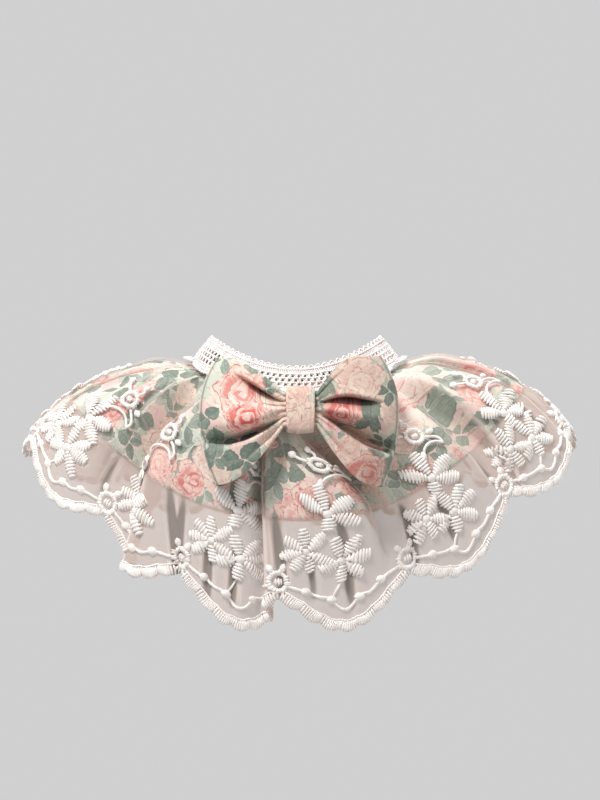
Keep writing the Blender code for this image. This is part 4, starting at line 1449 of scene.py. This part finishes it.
# the press stud at the nape
stud = {
    "at": 170.0, "down": 0.5, "lift": 2.4, "steps": 48,
    "profile": (
        (0, -0.2), (2.0, -0.2), (2.5, 0.1), (3.0, 0.4), (4.0, 0.5), (4.5, 0.1), (4.5, -0.6), (3.9, -0.8),
        (0, -0.8),
    ),
}


def snapMaterial():
    made, shader = newMaterial("snapPlastic", 0.3, 0.0, 0.5)
    plug(shader["Coat Weight"], 0.3)
    marks = noise(objectPlace(), 900.0, 3.0)
    plug(shader["Base Color"], mixColour(marks, (226, 220, 210), (242, 238, 230)))
    plug(shader["Roughness"], smoothStep(marks, 0.3, 0.7, 0.24, 0.42))
    return made


def addMesh(name, bm, material):
    mesh = bpy.data.meshes.new(name)
    bm.to_mesh(mesh)
    bm.free()
    mesh.materials.append(material)
    return addObject(name, mesh)


def makeStud():
    angle, down, lift = (np.array([stud[key]]) for key in ("at", "down", "lift"))
    centre, normal = bandAt(angle, down, lift)[0], outward(band, angle, down, 0.02)[0]
    bm = bmesh.new()
    edge = [bm.verts.new((r * mm, 0, z * mm)) for r, z in stud["profile"]]
    edges = [bm.edges.new(pair) for pair in zip(edge, edge[1:])]
    steps = stud["steps"]
    bmesh.ops.spin(bm, geom=edge + edges, axis=(0, 0, 1), cent=(0, 0, 0), steps=steps, angle=2 * math.pi)
    bmesh.ops.remove_doubles(bm, verts=bm.verts, dist=1e-6)
    bmesh.ops.recalc_face_normals(bm, faces=bm.faces)
    facing = Vector(normal).to_track_quat("Z", "Y").to_matrix().to_4x4()
    bm.transform(Matrix.Translation(centre * mm) @ facing)
    piece = addMesh("snapCap", bm, snapMaterial())
    piece.data.shade_smooth()
    dress(piece, "snap_cap")


makeStud()

# the cut length and width of the crochet lace, in metres
cutLace = (lace["length"] * mm, 0.0205)

# the room: a pale floor well below, a plain pale background and soft lights
room = {"floor": -0.42, "floorSize": 1.5, "background": (207, 207, 207), "glow": 0.38}


def makeRoom():
    world = bpy.data.worlds.new("studio")
    bpy.context.scene.world = world
    world.use_nodes = True
    background = useTree(world.node_tree).nodes["Background"].inputs
    seen = addNode("LightPath", {})["Is Camera Ray"]
    plug(background["Color"], room["background"])
    plug(background["Strength"], smoothStep(seen, 0.0, 1.0, room["glow"], 1.0))
    made, shader = newMaterial("paleFloor", 0.9, 0.0, 0.2)
    plug(shader["Base Color"], (190, 190, 190))
    bm = bmesh.new()
    bmesh.ops.create_circle(bm, cap_ends=True, segments=96, radius=room["floorSize"])
    floor = addMesh("floor", bm, made)
    floor.location = (0, 0, room["floor"])


lights = {  # place, size, power
    "keyLight": ((-0.5, -0.75, 1.2), 0.4, 22.0),
    "fillLight": ((0.8, -1.4, 0.2), 0.9, 4.0),
    "topLight": ((0.1, 0.3, 1.3), 0.7, 12.0),
    "backLight": ((0.2, 1.3, 0.5), 0.9, 9.0),
    "leftLight": ((-1.2, 0.4, -0.25), 0.6, 5.5),
    "rightLight": ((1.2, 0.4, -0.25), 0.6, 6.5),
}


def makeLights():
    for name, (place, size, power) in lights.items():
        light = bpy.data.lights.new(name, "AREA")
        light.energy = power
        light.size = size
        made = addObject(name, light)
        made.location = place
        made.rotation_mode = "QUATERNION"
        made.rotation_quaternion = (Vector(place) - Vector((0, 0, -0.04))).to_track_quat("Z", "Y")


makeRoom()
makeLights()
bpy.context.scene.view_settings.view_transform = "Standard"
print("room and lights set")
